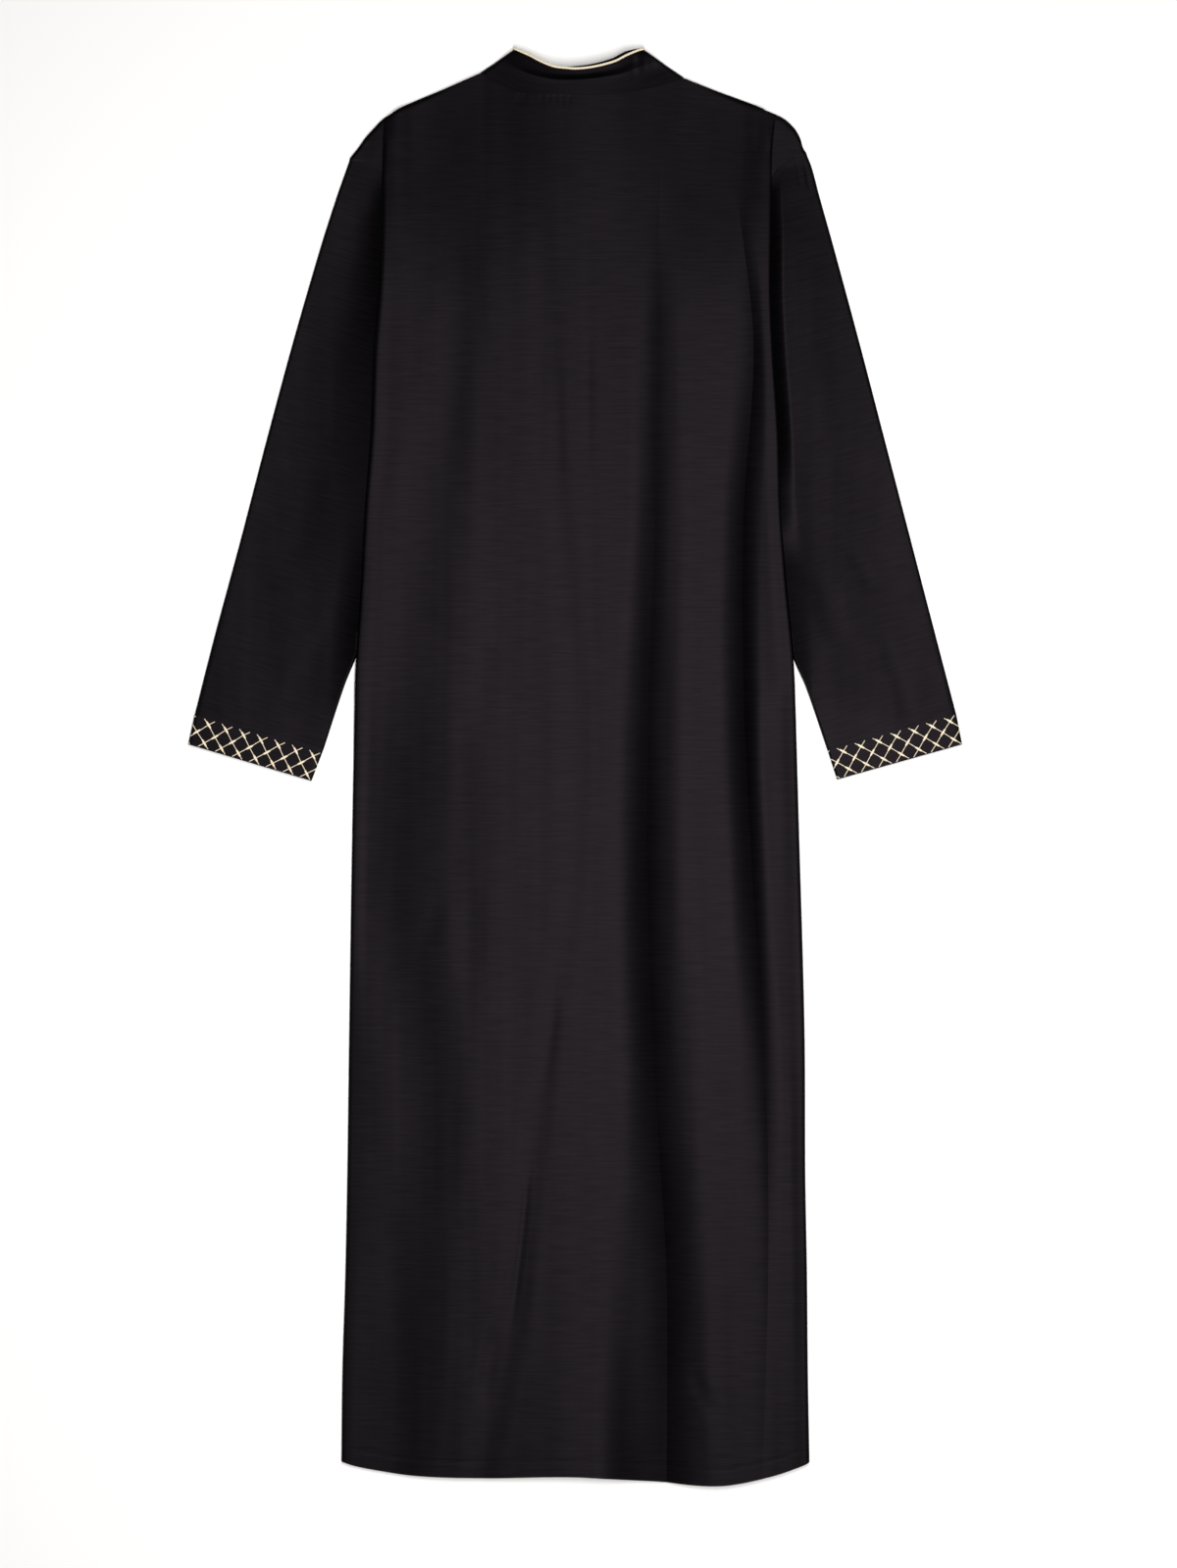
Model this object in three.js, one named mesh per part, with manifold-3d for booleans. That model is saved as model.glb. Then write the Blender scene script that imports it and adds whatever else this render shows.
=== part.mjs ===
// A long-sleeved, ankle-length qamis laid flat with its back up.
// Millimetres. +Z is up from the surface it lies on, +Y runs from the hem to the collar,
// +X is the right-hand side seen from above. The origin is on that surface, under the middle
// of the garment's outline.

import * as THREE from 'three';
import { mergeVertices } from 'three/addons/utils/BufferGeometryUtils.js';
import Module from 'manifold-3d';

// ---------------------------------------------------------------- driving dimensions

const CLOTH = 1.2; // thickness of one layer of the suiting
const BAND = 1.6; // thickness of the stiffened collar and cuff bands
const SEAM = 0.4; // gap between two pieces at a seam
const LAYER = 0.3; // gap between two layers that lie on each other

// The body's sides: the folded edges of the back, from the hem's corners to the shoulders.
const SIDES = [
  { y: -708.5, left: -238.5, right: 239.0 },
  { y: -617.5, left: -237.5, right: 237.4 },
  { y: -517.5, left: -234.5, right: 236.5 },
  { y: -417.5, left: -232.5, right: 234.8 },
  { y: -267.5, left: -230.5, right: 234.0 },
  { y: -67.5, left: -227.5, right: 228.5 },
  { y: 82.5, left: -224.5, right: 224.0 },
  { y: 122.5, left: -222.5, right: 221.5 },
  { y: 182.5, left: -218.5, right: 215.5 },
  { y: 262.5, left: -214.5, right: 209.5 },
  { y: 342.5, left: -208.5, right: 207.0 },
  { y: 422.5, left: -205.5, right: 201.8 },
  { y: 482.5, left: -200.5, right: 199.2 },
  { y: 542.5, left: -197.5, right: 199.5 },
  { y: 622.5, left: -196.5, right: 200.8 },
  { y: 660.5, left: -196.0, right: 204.0 },
];

// The hem's edge from side to side, and the back's top edge: shoulder, neckline, shoulder.
const HEM = [
  { x: -238.5, y: -708.5 },
  { x: -226.5, y: -712.5 },
  { x: -201.5, y: -717.5 },
  { x: -164.5, y: -722.5 },
  { x: -95.0, y: -724.5 },
  { x: -1.5, y: -722.8 },
  { x: 70.5, y: -727.8 },
  { x: 125.0, y: -732.3 },
  { x: 158.5, y: -731.5 },
  { x: 201.5, y: -722.5 },
  { x: 232.5, y: -712.0 },
  { x: 239.0, y: -708.5 },
];
const NECK_LEFT = -96.5; // where the neckline meets the shoulders
const NECK_RIGHT = 110.5;
const SHOULDER_LEFT = [
  { x: -196.0, y: 659.0 },
  { x: -179.5, y: 672.5 },
  { x: -133.5, y: 692.5 },
  { x: -96.5, y: 708.5 },
];
const SHOULDER_RIGHT = [
  { x: 110.5, y: 703.5 },
  { x: 138.5, y: 692.5 },
  { x: 190.5, y: 672.5 },
  { x: 204.0, y: 661.0 },
];
const NECKLINE = [
  { x: -96.5, y: 708.5 },
  { x: -73.5, y: 694.5 },
  { x: -58.5, y: 689.0 },
  { x: 3.5, y: 685.5 },
  { x: 53.5, y: 688.5 },
  { x: 82.0, y: 694.5 },
  { x: 110.5, y: 703.5 },
];
const FRONT_NECK_DROP = 3; // the front's neckline dips this much below the back's

// Heights of the back above the surface. Where the sleeves are tucked under its folded sides
// it lies over four layers, and lower down only over the front.
const PLATEAU = 13; // between the folds
const SHOULDER_HEIGHT = 2.9; // along the shoulder seams
const NECK_HEIGHT = 12.5; // in the middle of the neckline
const TOP_ROLL = 24; // length over which the top edge rolls down
const UNDERLAP = 24; // width of cloth turned under at the sides
const SIDE_LEVELS = [
  { y: -740, under: 1.5, edge: 9.4 },
  { y: 0, under: 1.5, edge: 9.4 },
  { y: 50, under: 3.6, edge: 11.4 },
  { y: 92, under: 7.0, edge: 14.4 },
  { y: 400, under: 7.0, edge: 15.4 },
  { y: 560, under: 7.0, edge: 14.8 },
  { y: 600, under: 6.4, edge: 12.6 },
  { y: 628, under: 3.6, edge: 9.0 },
  { y: 665, under: 3.6, edge: 7.2 },
];

// The long soft folds of the back. Each lists its middle, half-width and depth at the
// stations, from the shoulders to the hem; a negative depth is a ridge.
const STATIONS = [592.5, 432.5, 252.5, 62.5, -127.5, -327.5, -517.5, -725];
const FOLDS = [
  {
    name: 'main trough',
    x: [86.5, 83.5, 79.5, 74.5, 72.5, 90.5, 92.5, 80.5],
    half: [13, 19, 25, 29, 31, 35, 42, 52],
    depth: [1.2, 5, 7.5, 9.2, 10, 9.4, 9, 8.5],
  },
  {
    name: 'right trough',
    x: [163.5, 181.5, 168.5, 169.5, 182.5, 198.5, 196.5, 190.5],
    half: [15, 19, 19, 21, 21, 17, 15, 15],
    depth: [0.8, 4.6, 5, 6, 7.2, 2.6, 0.6, 0.6],
  },
  {
    name: 'left trough',
    x: [-101.5, -134.5, -151.5, -173.5, -141.5, -159.5, -171.5, -176.5],
    half: [24, 27, 27, 26, 26, 26, 26, 28],
    depth: [0.3, 1.8, 2.4, 2.2, 1.4, 2.4, 1.8, 2.6],
  },
  {
    name: 'middle crease',
    x: [-36.5, -31.5, -16.5, -2.5, -6.5, -36.5, -58.5, -98.5],
    half: [22, 20, 20, 22, 20, 20, 18, 22],
    depth: [0.2, 0.8, 0.9, 1.1, 0.5, 1.4, 2.6, 1.8],
  },
  {
    name: 'ridge by the main trough',
    x: [118, 116, 117, 113, 116, 134, 142, 148],
    half: [18, 20, 22, 22, 24, 24, 24, 26],
    depth: [0, -0.6, -1.2, -1.6, -1.8, -1.6, -1.2, -1.8],
  },
];

// The sleeves, by side: the outer edge and the inner edge from the armhole to the cuff, the
// armhole from the shoulder to the underarm, and the cuff's free end.
const SLEEVES = {
  left: {
    outer: [
      [-230.5, 619.5], [-236.5, 602.5], [-243.5, 582.5], [-259.5, 532.5], [-288.5, 432.5],
      [-315.5, 332.5], [-341.5, 232.5], [-368.5, 132.5], [-388.5, 53.5],
    ],
    armhole: [
      [-230.5, 619.5], [-214.5, 617.0], [-197.5, 604.5], [-186, 570], [-172, 480], [-158, 380],
      [-150, 310],
    ],
    inner: [[-150, 310], [-167, 262], [-190, 198], [-223.5, 112.5], [-235.7, 82.5], [-256.5, 19.5]],
    end: [[-395, 23.5], [-269.2, -13.9]],
  },
  right: {
    outer: [
      [236.5, 625.2], [241.5, 612.5], [249.5, 582.5], [263.5, 532.5], [290.5, 432.5],
      [316.5, 332.5], [342.5, 232.5], [368.5, 132.5], [388.9, 54.5],
    ],
    armhole: [
      [236.5, 625.2], [223.5, 621.5], [205.5, 608.5], [190, 572], [174, 480], [160, 380],
      [150, 310],
    ],
    inner: [[150, 310], [167, 262], [190, 198], [223.5, 110.5], [234.9, 82.5], [257, 18.5]],
    end: [[395, 23.5], [267.1, -12.5]],
  },
};
const SLEEVE_HEIGHT = 6; // over both layers of a sleeve
const TUCKED_HEIGHT = 4.8; // over both layers where the body lies on them
const EDGE_RADIUS = 2.3; // of the folded edges of sleeves and cuffs
const CUFF_HEIGHT = 6.2;
const RIDGE_LIFT = 7.5; // a sleeve rises this much beside the valley along the body
const RIDGE_OFFSET = 40; // from the body's edge to the top of that rise
const RIDGE_HALF = 27;
const RIDGE_SPAN = {
  left: { low: 230, full: 420, top: 590 },
  right: { low: 190, full: 330, top: 590 },
};

// The shoulder's under layer, outside the fold that starts at the shoulder seam.
const CAPS = {
  left: {
    outline: [
      [-180, 672], [-195.5, 662.5], [-205.5, 652.5], [-214.5, 642.5], [-221.5, 632.5],
      [-229.5, 622.5],
    ],
    inside: [[-182, 606]],
  },
  right: {
    outline: [
      [190, 672.6], [212.5, 662.5], [223.5, 652.5], [229.5, 642.5], [232.5, 632.5],
      [236, 626.8],
    ],
    inside: [[188, 609]],
  },
};
const CAP_BOTTOM = 2.9;
const CAP_TOP = 4.2;

// The stand collar, flattened: its free edge is narrower than the neckline.
const COLLAR_TOP = [
  { x: -61.5, y: 731.1 },
  { x: -41.5, y: 723.9 },
  { x: -11.5, y: 717.8 },
  { x: 3.5, y: 715.6 },
  { x: 18.5, y: 716.2 },
  { x: 43.5, y: 722.0 },
  { x: 68.5, y: 731.0 },
];
const COLLAR_HEIGHT_BACK = 23; // of the free edge above the surface
const COLLAR_EDGE_RADIUS = 2.6;
const COLLAR_SLIT = 3; // the opening at the centre front
const COLLAR_FRONT_LIFT = 3.9; // leaves room for the piping beneath the front of the collar
const PIPING = 3.2; // diameter
const PIPING_PLACE = 0.92; // of the way from the neckline to the free edge

const CENTRE = 7; // x of the centre front and of the collar's middle
const SLIT_LENGTH = 300;
const SLIT_WIDTH = 2;
const PLACKET = { width: 38, length: 316 };

const BLACK = 0x232024;
const GOLD = 0xd6c39a;

// ---------------------------------------------------------------- small helpers

const clamp = (v, low, high) => Math.min(high, Math.max(low, v));

function smooth(from, to, v) {
  const t = clamp((v - from) / (to - from), 0, 1);
  return t * t * (3 - 2 * t);
}

// A curve through given values: cubic between neighbours, straight past the ends.
function through(at, values, v) {
  const last = at.length - 1;
  const rising = at[last] > at[0];
  let i = 0;
  while (i < last - 1 && (rising ? v > at[i + 1] : v < at[i + 1])) i += 1;
  const slope = (k) => {
    const a = clamp(k - 1, 0, last);
    const b = clamp(k + 1, 0, last);
    return (values[b] - values[a]) / (at[b] - at[a]);
  };
  const span = at[i + 1] - at[i];
  const t = clamp((v - at[i]) / span, 0, 1);
  const t2 = t * t;
  const t3 = t2 * t;
  return values[i] * (2 * t3 - 3 * t2 + 1) + slope(i) * span * (t3 - 2 * t2 + t)
    + values[i + 1] * (3 * t2 - 2 * t3) + slope(i + 1) * span * (t3 - t2);
}

// Values that ease from each row to the next and never pass them.
function easing(rows, key, y) {
  const next = Math.max(1, rows.findIndex((row) => row.y >= y));
  const [a, b] = [rows[next - 1], rows[next]];
  return a[key] + (b[key] - a[key]) * smooth(a.y, b.y, y);
}

const column = (rows, key) => rows.map((row) => row[key]);
const rowAt = (rows, by, key, v) => through(column(rows, by), column(rows, key), v);
const evenly = (count, from = 0, to = 1) => (
  Array.from({ length: count }, (_, i) => from + ((to - from) * i) / (count - 1))
);

// One closed wall of cloth from a grid of points on its outer face: the same grid moved in by
// the thickness, and a rim along every open edge.
function wall(grid, thickness, { round = false, outward = 1 } = {}) {
  const rows = grid.length;
  const cols = grid[0].length;
  const normal = (i, j) => {
    const before = round ? (j + cols - 1) % cols : Math.max(j - 1, 0);
    const after = round ? (j + 1) % cols : Math.min(j + 1, cols - 1);
    const along = new THREE.Vector3().subVectors(grid[i][after], grid[i][before]);
    const up = new THREE.Vector3()
      .subVectors(grid[Math.min(i + 1, rows - 1)][j], grid[Math.max(i - 1, 0)][j]);
    return along.cross(up).normalize().multiplyScalar(outward);
  };
  const outside = grid.flat();
  const inside = grid.flatMap((row, i) => (
    row.map((point, j) => point.clone().addScaledVector(normal(i, j), -thickness))
  ));
  const positions = [...outside, ...inside].flatMap((p) => [p.x, p.y, p.z]);
  const faces = [];
  const quad = (a, b, c, d) => {
    if (outward > 0) faces.push(a, b, c, a, c, d);
    else faces.push(a, c, b, a, d, c);
  };
  const shift = rows * cols;
  const index = (i, j) => i * cols + (j % cols);
  const lastCol = round ? cols : cols - 1;
  for (let i = 0; i < rows - 1; i += 1) {
    for (let j = 0; j < lastCol; j += 1) {
      const [a, b] = [index(i, j), index(i, j + 1)];
      const [c, d] = [index(i + 1, j + 1), index(i + 1, j)];
      quad(a, b, c, d);
      quad(a + shift, d + shift, c + shift, b + shift);
    }
  }
  for (let j = 0; j < lastCol; j += 1) {
    const [a, b] = [index(0, j), index(0, j + 1)];
    quad(b, a, a + shift, b + shift);
    const [c, d] = [index(rows - 1, j), index(rows - 1, j + 1)];
    quad(c, d, d + shift, c + shift);
  }
  if (!round) {
    for (let i = 0; i < rows - 1; i += 1) {
      const [a, b] = [index(i, 0), index(i + 1, 0)];
      quad(a, b, b + shift, a + shift);
      const [c, d] = [index(i, cols - 1), index(i + 1, cols - 1)];
      quad(d, c, c + shift, d + shift);
    }
  }
  const geometry = new THREE.BufferGeometry();
  geometry.setAttribute('position', new THREE.Float32BufferAttribute(positions, 3));
  geometry.setIndex(faces);
  return geometry;
}

// A flat piece of cloth from its outline.
function flatPiece(outline, bottom, top) {
  const shape = new THREE.Shape(outline.map(([x, y]) => new THREE.Vector2(x, y)));
  const geometry = new THREE.ExtrudeGeometry(shape, { depth: top - bottom, bevelEnabled: false });
  geometry.translate(0, 0, bottom);
  return geometry;
}

function piece(name, geometry, color, roughness) {
  geometry.computeVertexNormals();
  const material = new THREE.MeshStandardMaterial({ color, roughness, metalness: 0 });
  const mesh = new THREE.Mesh(geometry, material);
  mesh.name = name;
  return mesh;
}

// ---------------------------------------------------------------- joining

const wasm = await Module();
wasm.setup();

function toManifold(geometry) {
  const bare = geometry.clone();
  bare.deleteAttribute('normal');
  bare.deleteAttribute('uv');
  const merged = mergeVertices(bare, 1e-4);
  return new wasm.Manifold(new wasm.Mesh({
    numProp: 3,
    vertProperties: new Float32Array(merged.attributes.position.array),
    triVerts: new Uint32Array(merged.index.array),
  }));
}

function joined(...geometries) {
  const solid = geometries.map(toManifold).reduce((all, next) => all.add(next));
  const mesh = solid.getMesh();
  const geometry = new THREE.BufferGeometry();
  geometry.setAttribute('position', new THREE.BufferAttribute(mesh.vertProperties, 3));
  geometry.setIndex(new THREE.BufferAttribute(mesh.triVerts, 1));
  return geometry;
}

// ---------------------------------------------------------------- the back

const SIDE = { left: -1, right: 1 };
const sideAt = (side, y) => rowAt(SIDES, 'y', side, clamp(y, -708.5, 660.5));
const necklineAt = (x) => rowAt(NECKLINE, 'x', 'y', x);
const hemAt = (x) => rowAt(HEM, 'x', 'y', clamp(x, -238.5, 239));

function topEdgeAt(x) {
  if (x < NECK_LEFT) return rowAt(SHOULDER_LEFT, 'x', 'y', x);
  if (x > NECK_RIGHT) return rowAt(SHOULDER_RIGHT, 'x', 'y', x);
  return necklineAt(x);
}

// How far a point is across the neckline, as the height of a round arch over it.
function neckArch(x) {
  const half = (NECK_RIGHT - NECK_LEFT) / 2;
  const off = (x - (NECK_LEFT + NECK_RIGHT) / 2) / half;
  return Math.sqrt(Math.max(0, 1 - off * off));
}

function topEdgeHeight(x) {
  const shoulder = SHOULDER_HEIGHT + (NECK_HEIGHT - SHOULDER_HEIGHT) * neckArch(x);
  const corner = easing(SIDE_LEVELS, 'edge', 665);
  const near = Math.min(x - sideAt('left', 660), sideAt('right', 660) - x);
  return shoulder + (corner - shoulder) * (1 - smooth(8, 34, near));
}

function foldDepth(x, y) {
  const at = clamp(y, STATIONS[STATIONS.length - 1], STATIONS[0]);
  const start = 1 - smooth(STATIONS[0], STATIONS[0] + 50, y);
  return FOLDS.reduce((sum, fold) => {
    const off = Math.abs(x - through(STATIONS, fold.x, at)) / through(STATIONS, fold.half, at);
    const bell = off < 1 ? (1 + Math.cos(Math.PI * off)) / 2 : 0;
    return sum + start * bell * through(STATIONS, fold.depth, at);
  }, 0);
}

// The height of the back's upper face over a point between its sides.
function backHeight(x, y, edgeY) {
  const near = Math.min(x - sideAt('left', edgeY), sideAt('right', edgeY) - x);
  const edge = easing(SIDE_LEVELS, 'edge', edgeY);
  const flat = edge + (PLATEAU - edge) * smooth(4, 46, near);
  const folded = flat - foldDepth(x, y) * smooth(0, 16, near);
  const rise = clamp((topEdgeAt(x) - y) / TOP_ROLL, 0, 1);
  const low = topEdgeHeight(x);
  return low + (folded - low) * Math.sqrt(1 - (1 - rise) ** 2);
}

const BACK_ROWS = [
  ...evenly(20, -708.5, 440), ...evenly(6, 480, 620), 636, 648, 655, 660.5,
];
const BACK_COLUMNS = [
  ...evenly(12, 0, 0.56), ...evenly(13, 0.58, 0.8), ...evenly(8, 0.828, 1),
];
const ROLL_STEPS = 3;

// One row: the cloth turned under on the left, its rolled edge, the back, and the same again.
function backRow(edgeY) {
  const under = easing(SIDE_LEVELS, 'under', edgeY);
  const edge = easing(SIDE_LEVELS, 'edge', edgeY);
  const radius = (edge - under) / 2;
  const left = sideAt('left', edgeY) + radius;
  const right = sideAt('right', edgeY) - radius;
  const bottom = SIDES[0].y;
  const top = SIDES[SIDES.length - 1].y;
  const place = (x, z) => {
    const over = clamp(x, left - radius, right + radius);
    const hemPull = (hemAt(over) - bottom) * (1 - smooth(bottom, bottom + 130, edgeY));
    const topPull = (topEdgeAt(over) - top) * smooth(top - 130, top, edgeY);
    const y = edgeY + hemPull + topPull;
    return new THREE.Vector3(x, y, z === null ? backHeight(over, y, edgeY) : z);
  };
  const roll = (middle, side) => evenly(ROLL_STEPS + 2, -0.5, 0.5).slice(1, -1).map((turn) => (
    place(middle + side * radius * Math.cos(Math.PI * turn), under + radius
      + radius * Math.sin(Math.PI * turn))
  ));
  return [
    place(left + UNDERLAP, under), place(left, under),
    ...roll(left, -1),
    place(left, edge),
    ...BACK_COLUMNS.slice(1, -1).map((s) => place(left + (right - left) * s, null)),
    place(right, edge),
    ...roll(right, 1).reverse(),
    place(right, under), place(right - UNDERLAP, under),
  ];
}

// ---------------------------------------------------------------- sleeves and cuffs

// A point at share t along a chain of points, measured by its length.
function along(points, t) {
  const lengths = [0];
  for (let i = 1; i < points.length; i += 1) {
    const [a, b] = [points[i - 1], points[i]];
    lengths.push(lengths[i - 1] + Math.hypot(b[0] - a[0], b[1] - a[1]));
  }
  const reach = t * lengths[lengths.length - 1];
  return [0, 1].map((axis) => through(lengths, points.map((p) => p[axis]), reach));
}

// A point of the sleeve's plan: across from the outer edge to the inner, down to the cuff.
function sleevePlan(side, across, down) {
  const { outer, inner, armhole } = SLEEVES[side];
  const cuff = [outer[outer.length - 1], inner[inner.length - 1]];
  const edge = [along(outer, down), along(inner, down)];
  const [top, low] = [along(armhole, across), along(cuff, across)];
  return [0, 1].map((k) => (
    (1 - across) * edge[0][k] + across * edge[1][k] + (1 - down) * top[k] + down * low[k]
    - (1 - across) * ((1 - down) * outer[0][k] + down * cuff[0][k])
    - across * ((1 - down) * inner[0][k] + down * cuff[1][k])
  ));
}

// How far outside the body's folded side a point lies.
const outsideBody = (side, x, y) => SIDE[side] * (x - sideAt(side, y));

// The sleeve rests on the front where it is tucked under the body, and rises in a soft ridge
// beside the valley along the body's fold.
function sleeveBase(side, x, y) {
  const out = outsideBody(side, x, y);
  const onFront = (CLOTH + LAYER) * (1 - smooth(12, 34, out));
  const span = RIDGE_SPAN[side];
  const length = smooth(span.low, span.full, y) * (1 - smooth(span.top - 90, span.top, y));
  const off = Math.abs(out - RIDGE_OFFSET) / RIDGE_HALF;
  const ridge = off < 1 ? (1 + Math.cos(Math.PI * off)) / 2 : 0;
  return Math.max(onFront, RIDGE_LIFT * ridge * length);
}

// A ring round two layers of cloth that lie on each other with folded edges. The plan is a
// function of the share across, base and height of the place.
function flatRing(plan, base, height, shares) {
  const [first, last] = [plan(0), plan(1)];
  const width = Math.hypot(last[0] - first[0], last[1] - first[1]);
  const lift = (s) => {
    const d = Math.min(s, 1 - s) * width;
    return d < EDGE_RADIUS ? Math.sqrt(2 * d * EDGE_RADIUS - d * d) / EDGE_RADIUS : 1;
  };
  const upper = shares.map((s) => {
    const [x, y] = plan(s);
    const rise = EDGE_RADIUS + lift(s) * (height(x, y) - EDGE_RADIUS);
    return new THREE.Vector3(x, y, base(x, y) + rise);
  });
  const lower = shares.slice(1, -1).reverse().map((s) => {
    const [x, y] = plan(s);
    return new THREE.Vector3(x, y, base(x, y) + EDGE_RADIUS * (1 - lift(s)));
  });
  return [...upper, ...lower];
}

function ringShares(width, inner) {
  const edge = [0, 0.3, 1].map((k) => (k * EDGE_RADIUS) / width);
  return [...edge, ...inner, ...edge.map((k) => 1 - k).reverse()];
}

function sleeve(side) {
  const shares = ringShares(150, evenly(9, 0.08, 0.92));
  const height = (x, y) => (
    TUCKED_HEIGHT + (SLEEVE_HEIGHT - TUCKED_HEIGHT) * smooth(12, 40, outsideBody(side, x, y))
  );
  const rows = [...evenly(7, 0, 0.3), ...evenly(10, 0.36, 1)].map((down) => flatRing(
    (s) => sleevePlan(side, s, down),
    (x, y) => sleeveBase(side, x, y),
    height,
    shares,
  ));
  return wall(rows, CLOTH, { round: true, outward: SIDE[side] });
}

function cuff(side) {
  const { outer, inner, end } = SLEEVES[side];
  const start = [outer[outer.length - 1], inner[inner.length - 1]];
  const length = Math.hypot(end[0][0] - start[0][0], end[0][1] - start[0][1]);
  const plan = (down) => (s) => [0, 1].map((k) => (
    (1 - down) * (start[0][k] + (start[1][k] - start[0][k]) * s)
    + down * (end[0][k] + (end[1][k] - end[0][k]) * s)
  ));
  const rows = evenly(4, SEAM / length, 1).map((down) => flatRing(
    plan(down),
    () => 0,
    () => CUFF_HEIGHT,
    ringShares(131, evenly(7, 0.08, 0.92)),
  ));
  return wall(rows, BAND, { round: true, outward: SIDE[side] });
}

// ---------------------------------------------------------------- shoulder caps, front, placket

// The cap's edge along the visible part of the armhole seam, a seam's gap above the sleeve.
function capOutline(side) {
  const { outline, inside } = CAPS[side];
  return [...outline, ...armholeSeam(side, SEAM + 0.2), ...inside];
}

// The part of the armhole seam that shows, moved off the sleeve by the gap.
function armholeSeam(side, gap) {
  const { armhole } = SLEEVES[side];
  return evenly(6, 0.02, 0.095).map((t) => {
    const [x, y] = along(armhole, t);
    return [x - SIDE[side] * gap * 0.42, y + gap * 0.9];
  });
}

function frontOutline() {
  const inset = 2.5;
  const sideUp = (side) => SIDES.slice(1, -2)
    .map((row) => [row[side] - SIDE[side] * inset, row.y]);
  const shoulder = (side) => {
    const { outline } = CAPS[side];
    return [
      ...armholeSeam(side, SEAM + 0.8).slice(1).reverse(),
      ...outline.slice(1).reverse().map(([x, y]) => [x - SIDE[side] * 1.5, y - 0.5]),
    ];
  };
  const hem = HEM.slice(1, -1).map((row) => [row.x, row.y + 3.5]);
  const neck = evenly(13, NECK_RIGHT, NECK_LEFT).map((x) => [x, frontNecklineAt(x) - SEAM]);
  const slit = [
    [CENTRE + SLIT_WIDTH / 2, frontNecklineAt(CENTRE) - SEAM],
    [CENTRE + SLIT_WIDTH / 2, frontNecklineAt(CENTRE) - SLIT_LENGTH],
    [CENTRE - SLIT_WIDTH / 2, frontNecklineAt(CENTRE) - SLIT_LENGTH],
    [CENTRE - SLIT_WIDTH / 2, frontNecklineAt(CENTRE) - SEAM],
  ];
  const right = neck.filter(([x]) => x > CENTRE + SLIT_WIDTH);
  const left = neck.filter(([x]) => x < CENTRE - SLIT_WIDTH);
  return [
    ...hem, ...sideUp('right'), ...shoulder('right'), ...right, ...slit, ...left,
    ...shoulder('left').reverse(), ...sideUp('left').reverse(),
  ];
}

function frontNecklineAt(x) {
  return necklineAt(x) - FRONT_NECK_DROP * neckArch(x);
}

function placketOutline() {
  const top = frontNecklineAt(CENTRE) - 2;
  const [left, right] = [CENTRE - PLACKET.width / 2, CENTRE + PLACKET.width / 2];
  return [[left, top - PLACKET.length], [right, top - PLACKET.length], [right, top], [left, top]];
}

// ---------------------------------------------------------------- collar and piping

// The collar's outer face. The share round it runs from 0 at the slit in the centre front,
// which lies underneath, over the left edge, across the back on top, and round to 1.
function collarPoint(round, up) {
  const left = [NECK_LEFT + (COLLAR_TOP[0].x - NECK_LEFT) * up, 0];
  const right = [NECK_RIGHT + (COLLAR_TOP[6].x - NECK_RIGHT) * up, 0];
  const width = right[0] - left[0];
  const onTop = round > 0.25 && round < 0.75;
  const slitShare = COLLAR_SLIT / 2 / width;
  const middle = (CENTRE - left[0]) / width;
  let s;
  if (onTop) s = (round - 0.25) * 2;
  else if (round <= 0.25) s = (middle - slitShare) * (1 - round * 4);
  else s = 1 - (1 - middle - slitShare) * (round - 0.75) * 4;
  const neckX = NECK_LEFT + (NECK_RIGHT - NECK_LEFT) * s;
  const topX = COLLAR_TOP[0].x + (COLLAR_TOP[6].x - COLLAR_TOP[0].x) * s;
  const seam = SEAM * (3 - neckArch(neckX));
  const neckY = (onTop ? necklineAt(neckX) : frontNecklineAt(neckX)) + seam;
  const topY = rowAt(COLLAR_TOP, 'x', 'y', topX);
  const d = Math.min(s, 1 - s) * width;
  const r = COLLAR_EDGE_RADIUS;
  const lift = d < r ? Math.sqrt(2 * d * r - d * d) / r : 1;
  const arch = Math.sqrt(Math.max(0, 1 - (2 * s - 1) ** 2));
  const crest = NECK_HEIGHT + (COLLAR_HEIGHT_BACK - NECK_HEIGHT) * up ** 0.9;
  const under = COLLAR_FRONT_LIFT * smooth(0.35, 0.85, up);
  const rise = r + (crest - under - 2 * r) * arch;
  return new THREE.Vector3(
    neckX + (topX - neckX) * up,
    neckY + (topY - neckY) * up,
    under + r + lift * (onTop ? rise : -r),
  );
}

const COLLAR_SHARES = [
  ...evenly(5, 0, 0.235), 0.243, 0.2475, 0.25, 0.2512, 0.2535, 0.26,
  ...evenly(15, 0.285, 0.715),
  0.74, 0.7465, 0.7488, 0.75, 0.7525, 0.757, ...evenly(5, 0.765, 1),
];

function collar() {
  const rows = evenly(6).map((up) => COLLAR_SHARES.map((round) => collarPoint(round, up)));
  return wall(rows, BAND, { outward: 1 });
}

// The cord along the collar's edge lies on its outer face.
function piping() {
  const step = 0.0008;
  const reach = PIPING / 2 + LAYER;
  const shares = COLLAR_SHARES.filter((round) => round > 0.004 && round < 0.996);
  const route = [0.004, ...shares, 0.996].map((round) => {
    const point = collarPoint(round, PIPING_PLACE);
    const across = collarPoint(Math.min(round + step, 1), PIPING_PLACE)
      .sub(collarPoint(Math.max(round - step, 0), PIPING_PLACE));
    const up = collarPoint(round, 1).sub(collarPoint(round, PIPING_PLACE - 0.08));
    return point.addScaledVector(across.cross(up).normalize(), reach);
  });
  const section = new THREE.Shape();
  section.absarc(0, 0, PIPING / 2, 0, Math.PI * 2);
  return new THREE.ExtrudeGeometry(section, {
    extrudePath: new THREE.CatmullRomCurve3(route),
    steps: 104,
    curveSegments: 3,
    bevelEnabled: false,
  });
}

// ---------------------------------------------------------------- the garment

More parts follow.
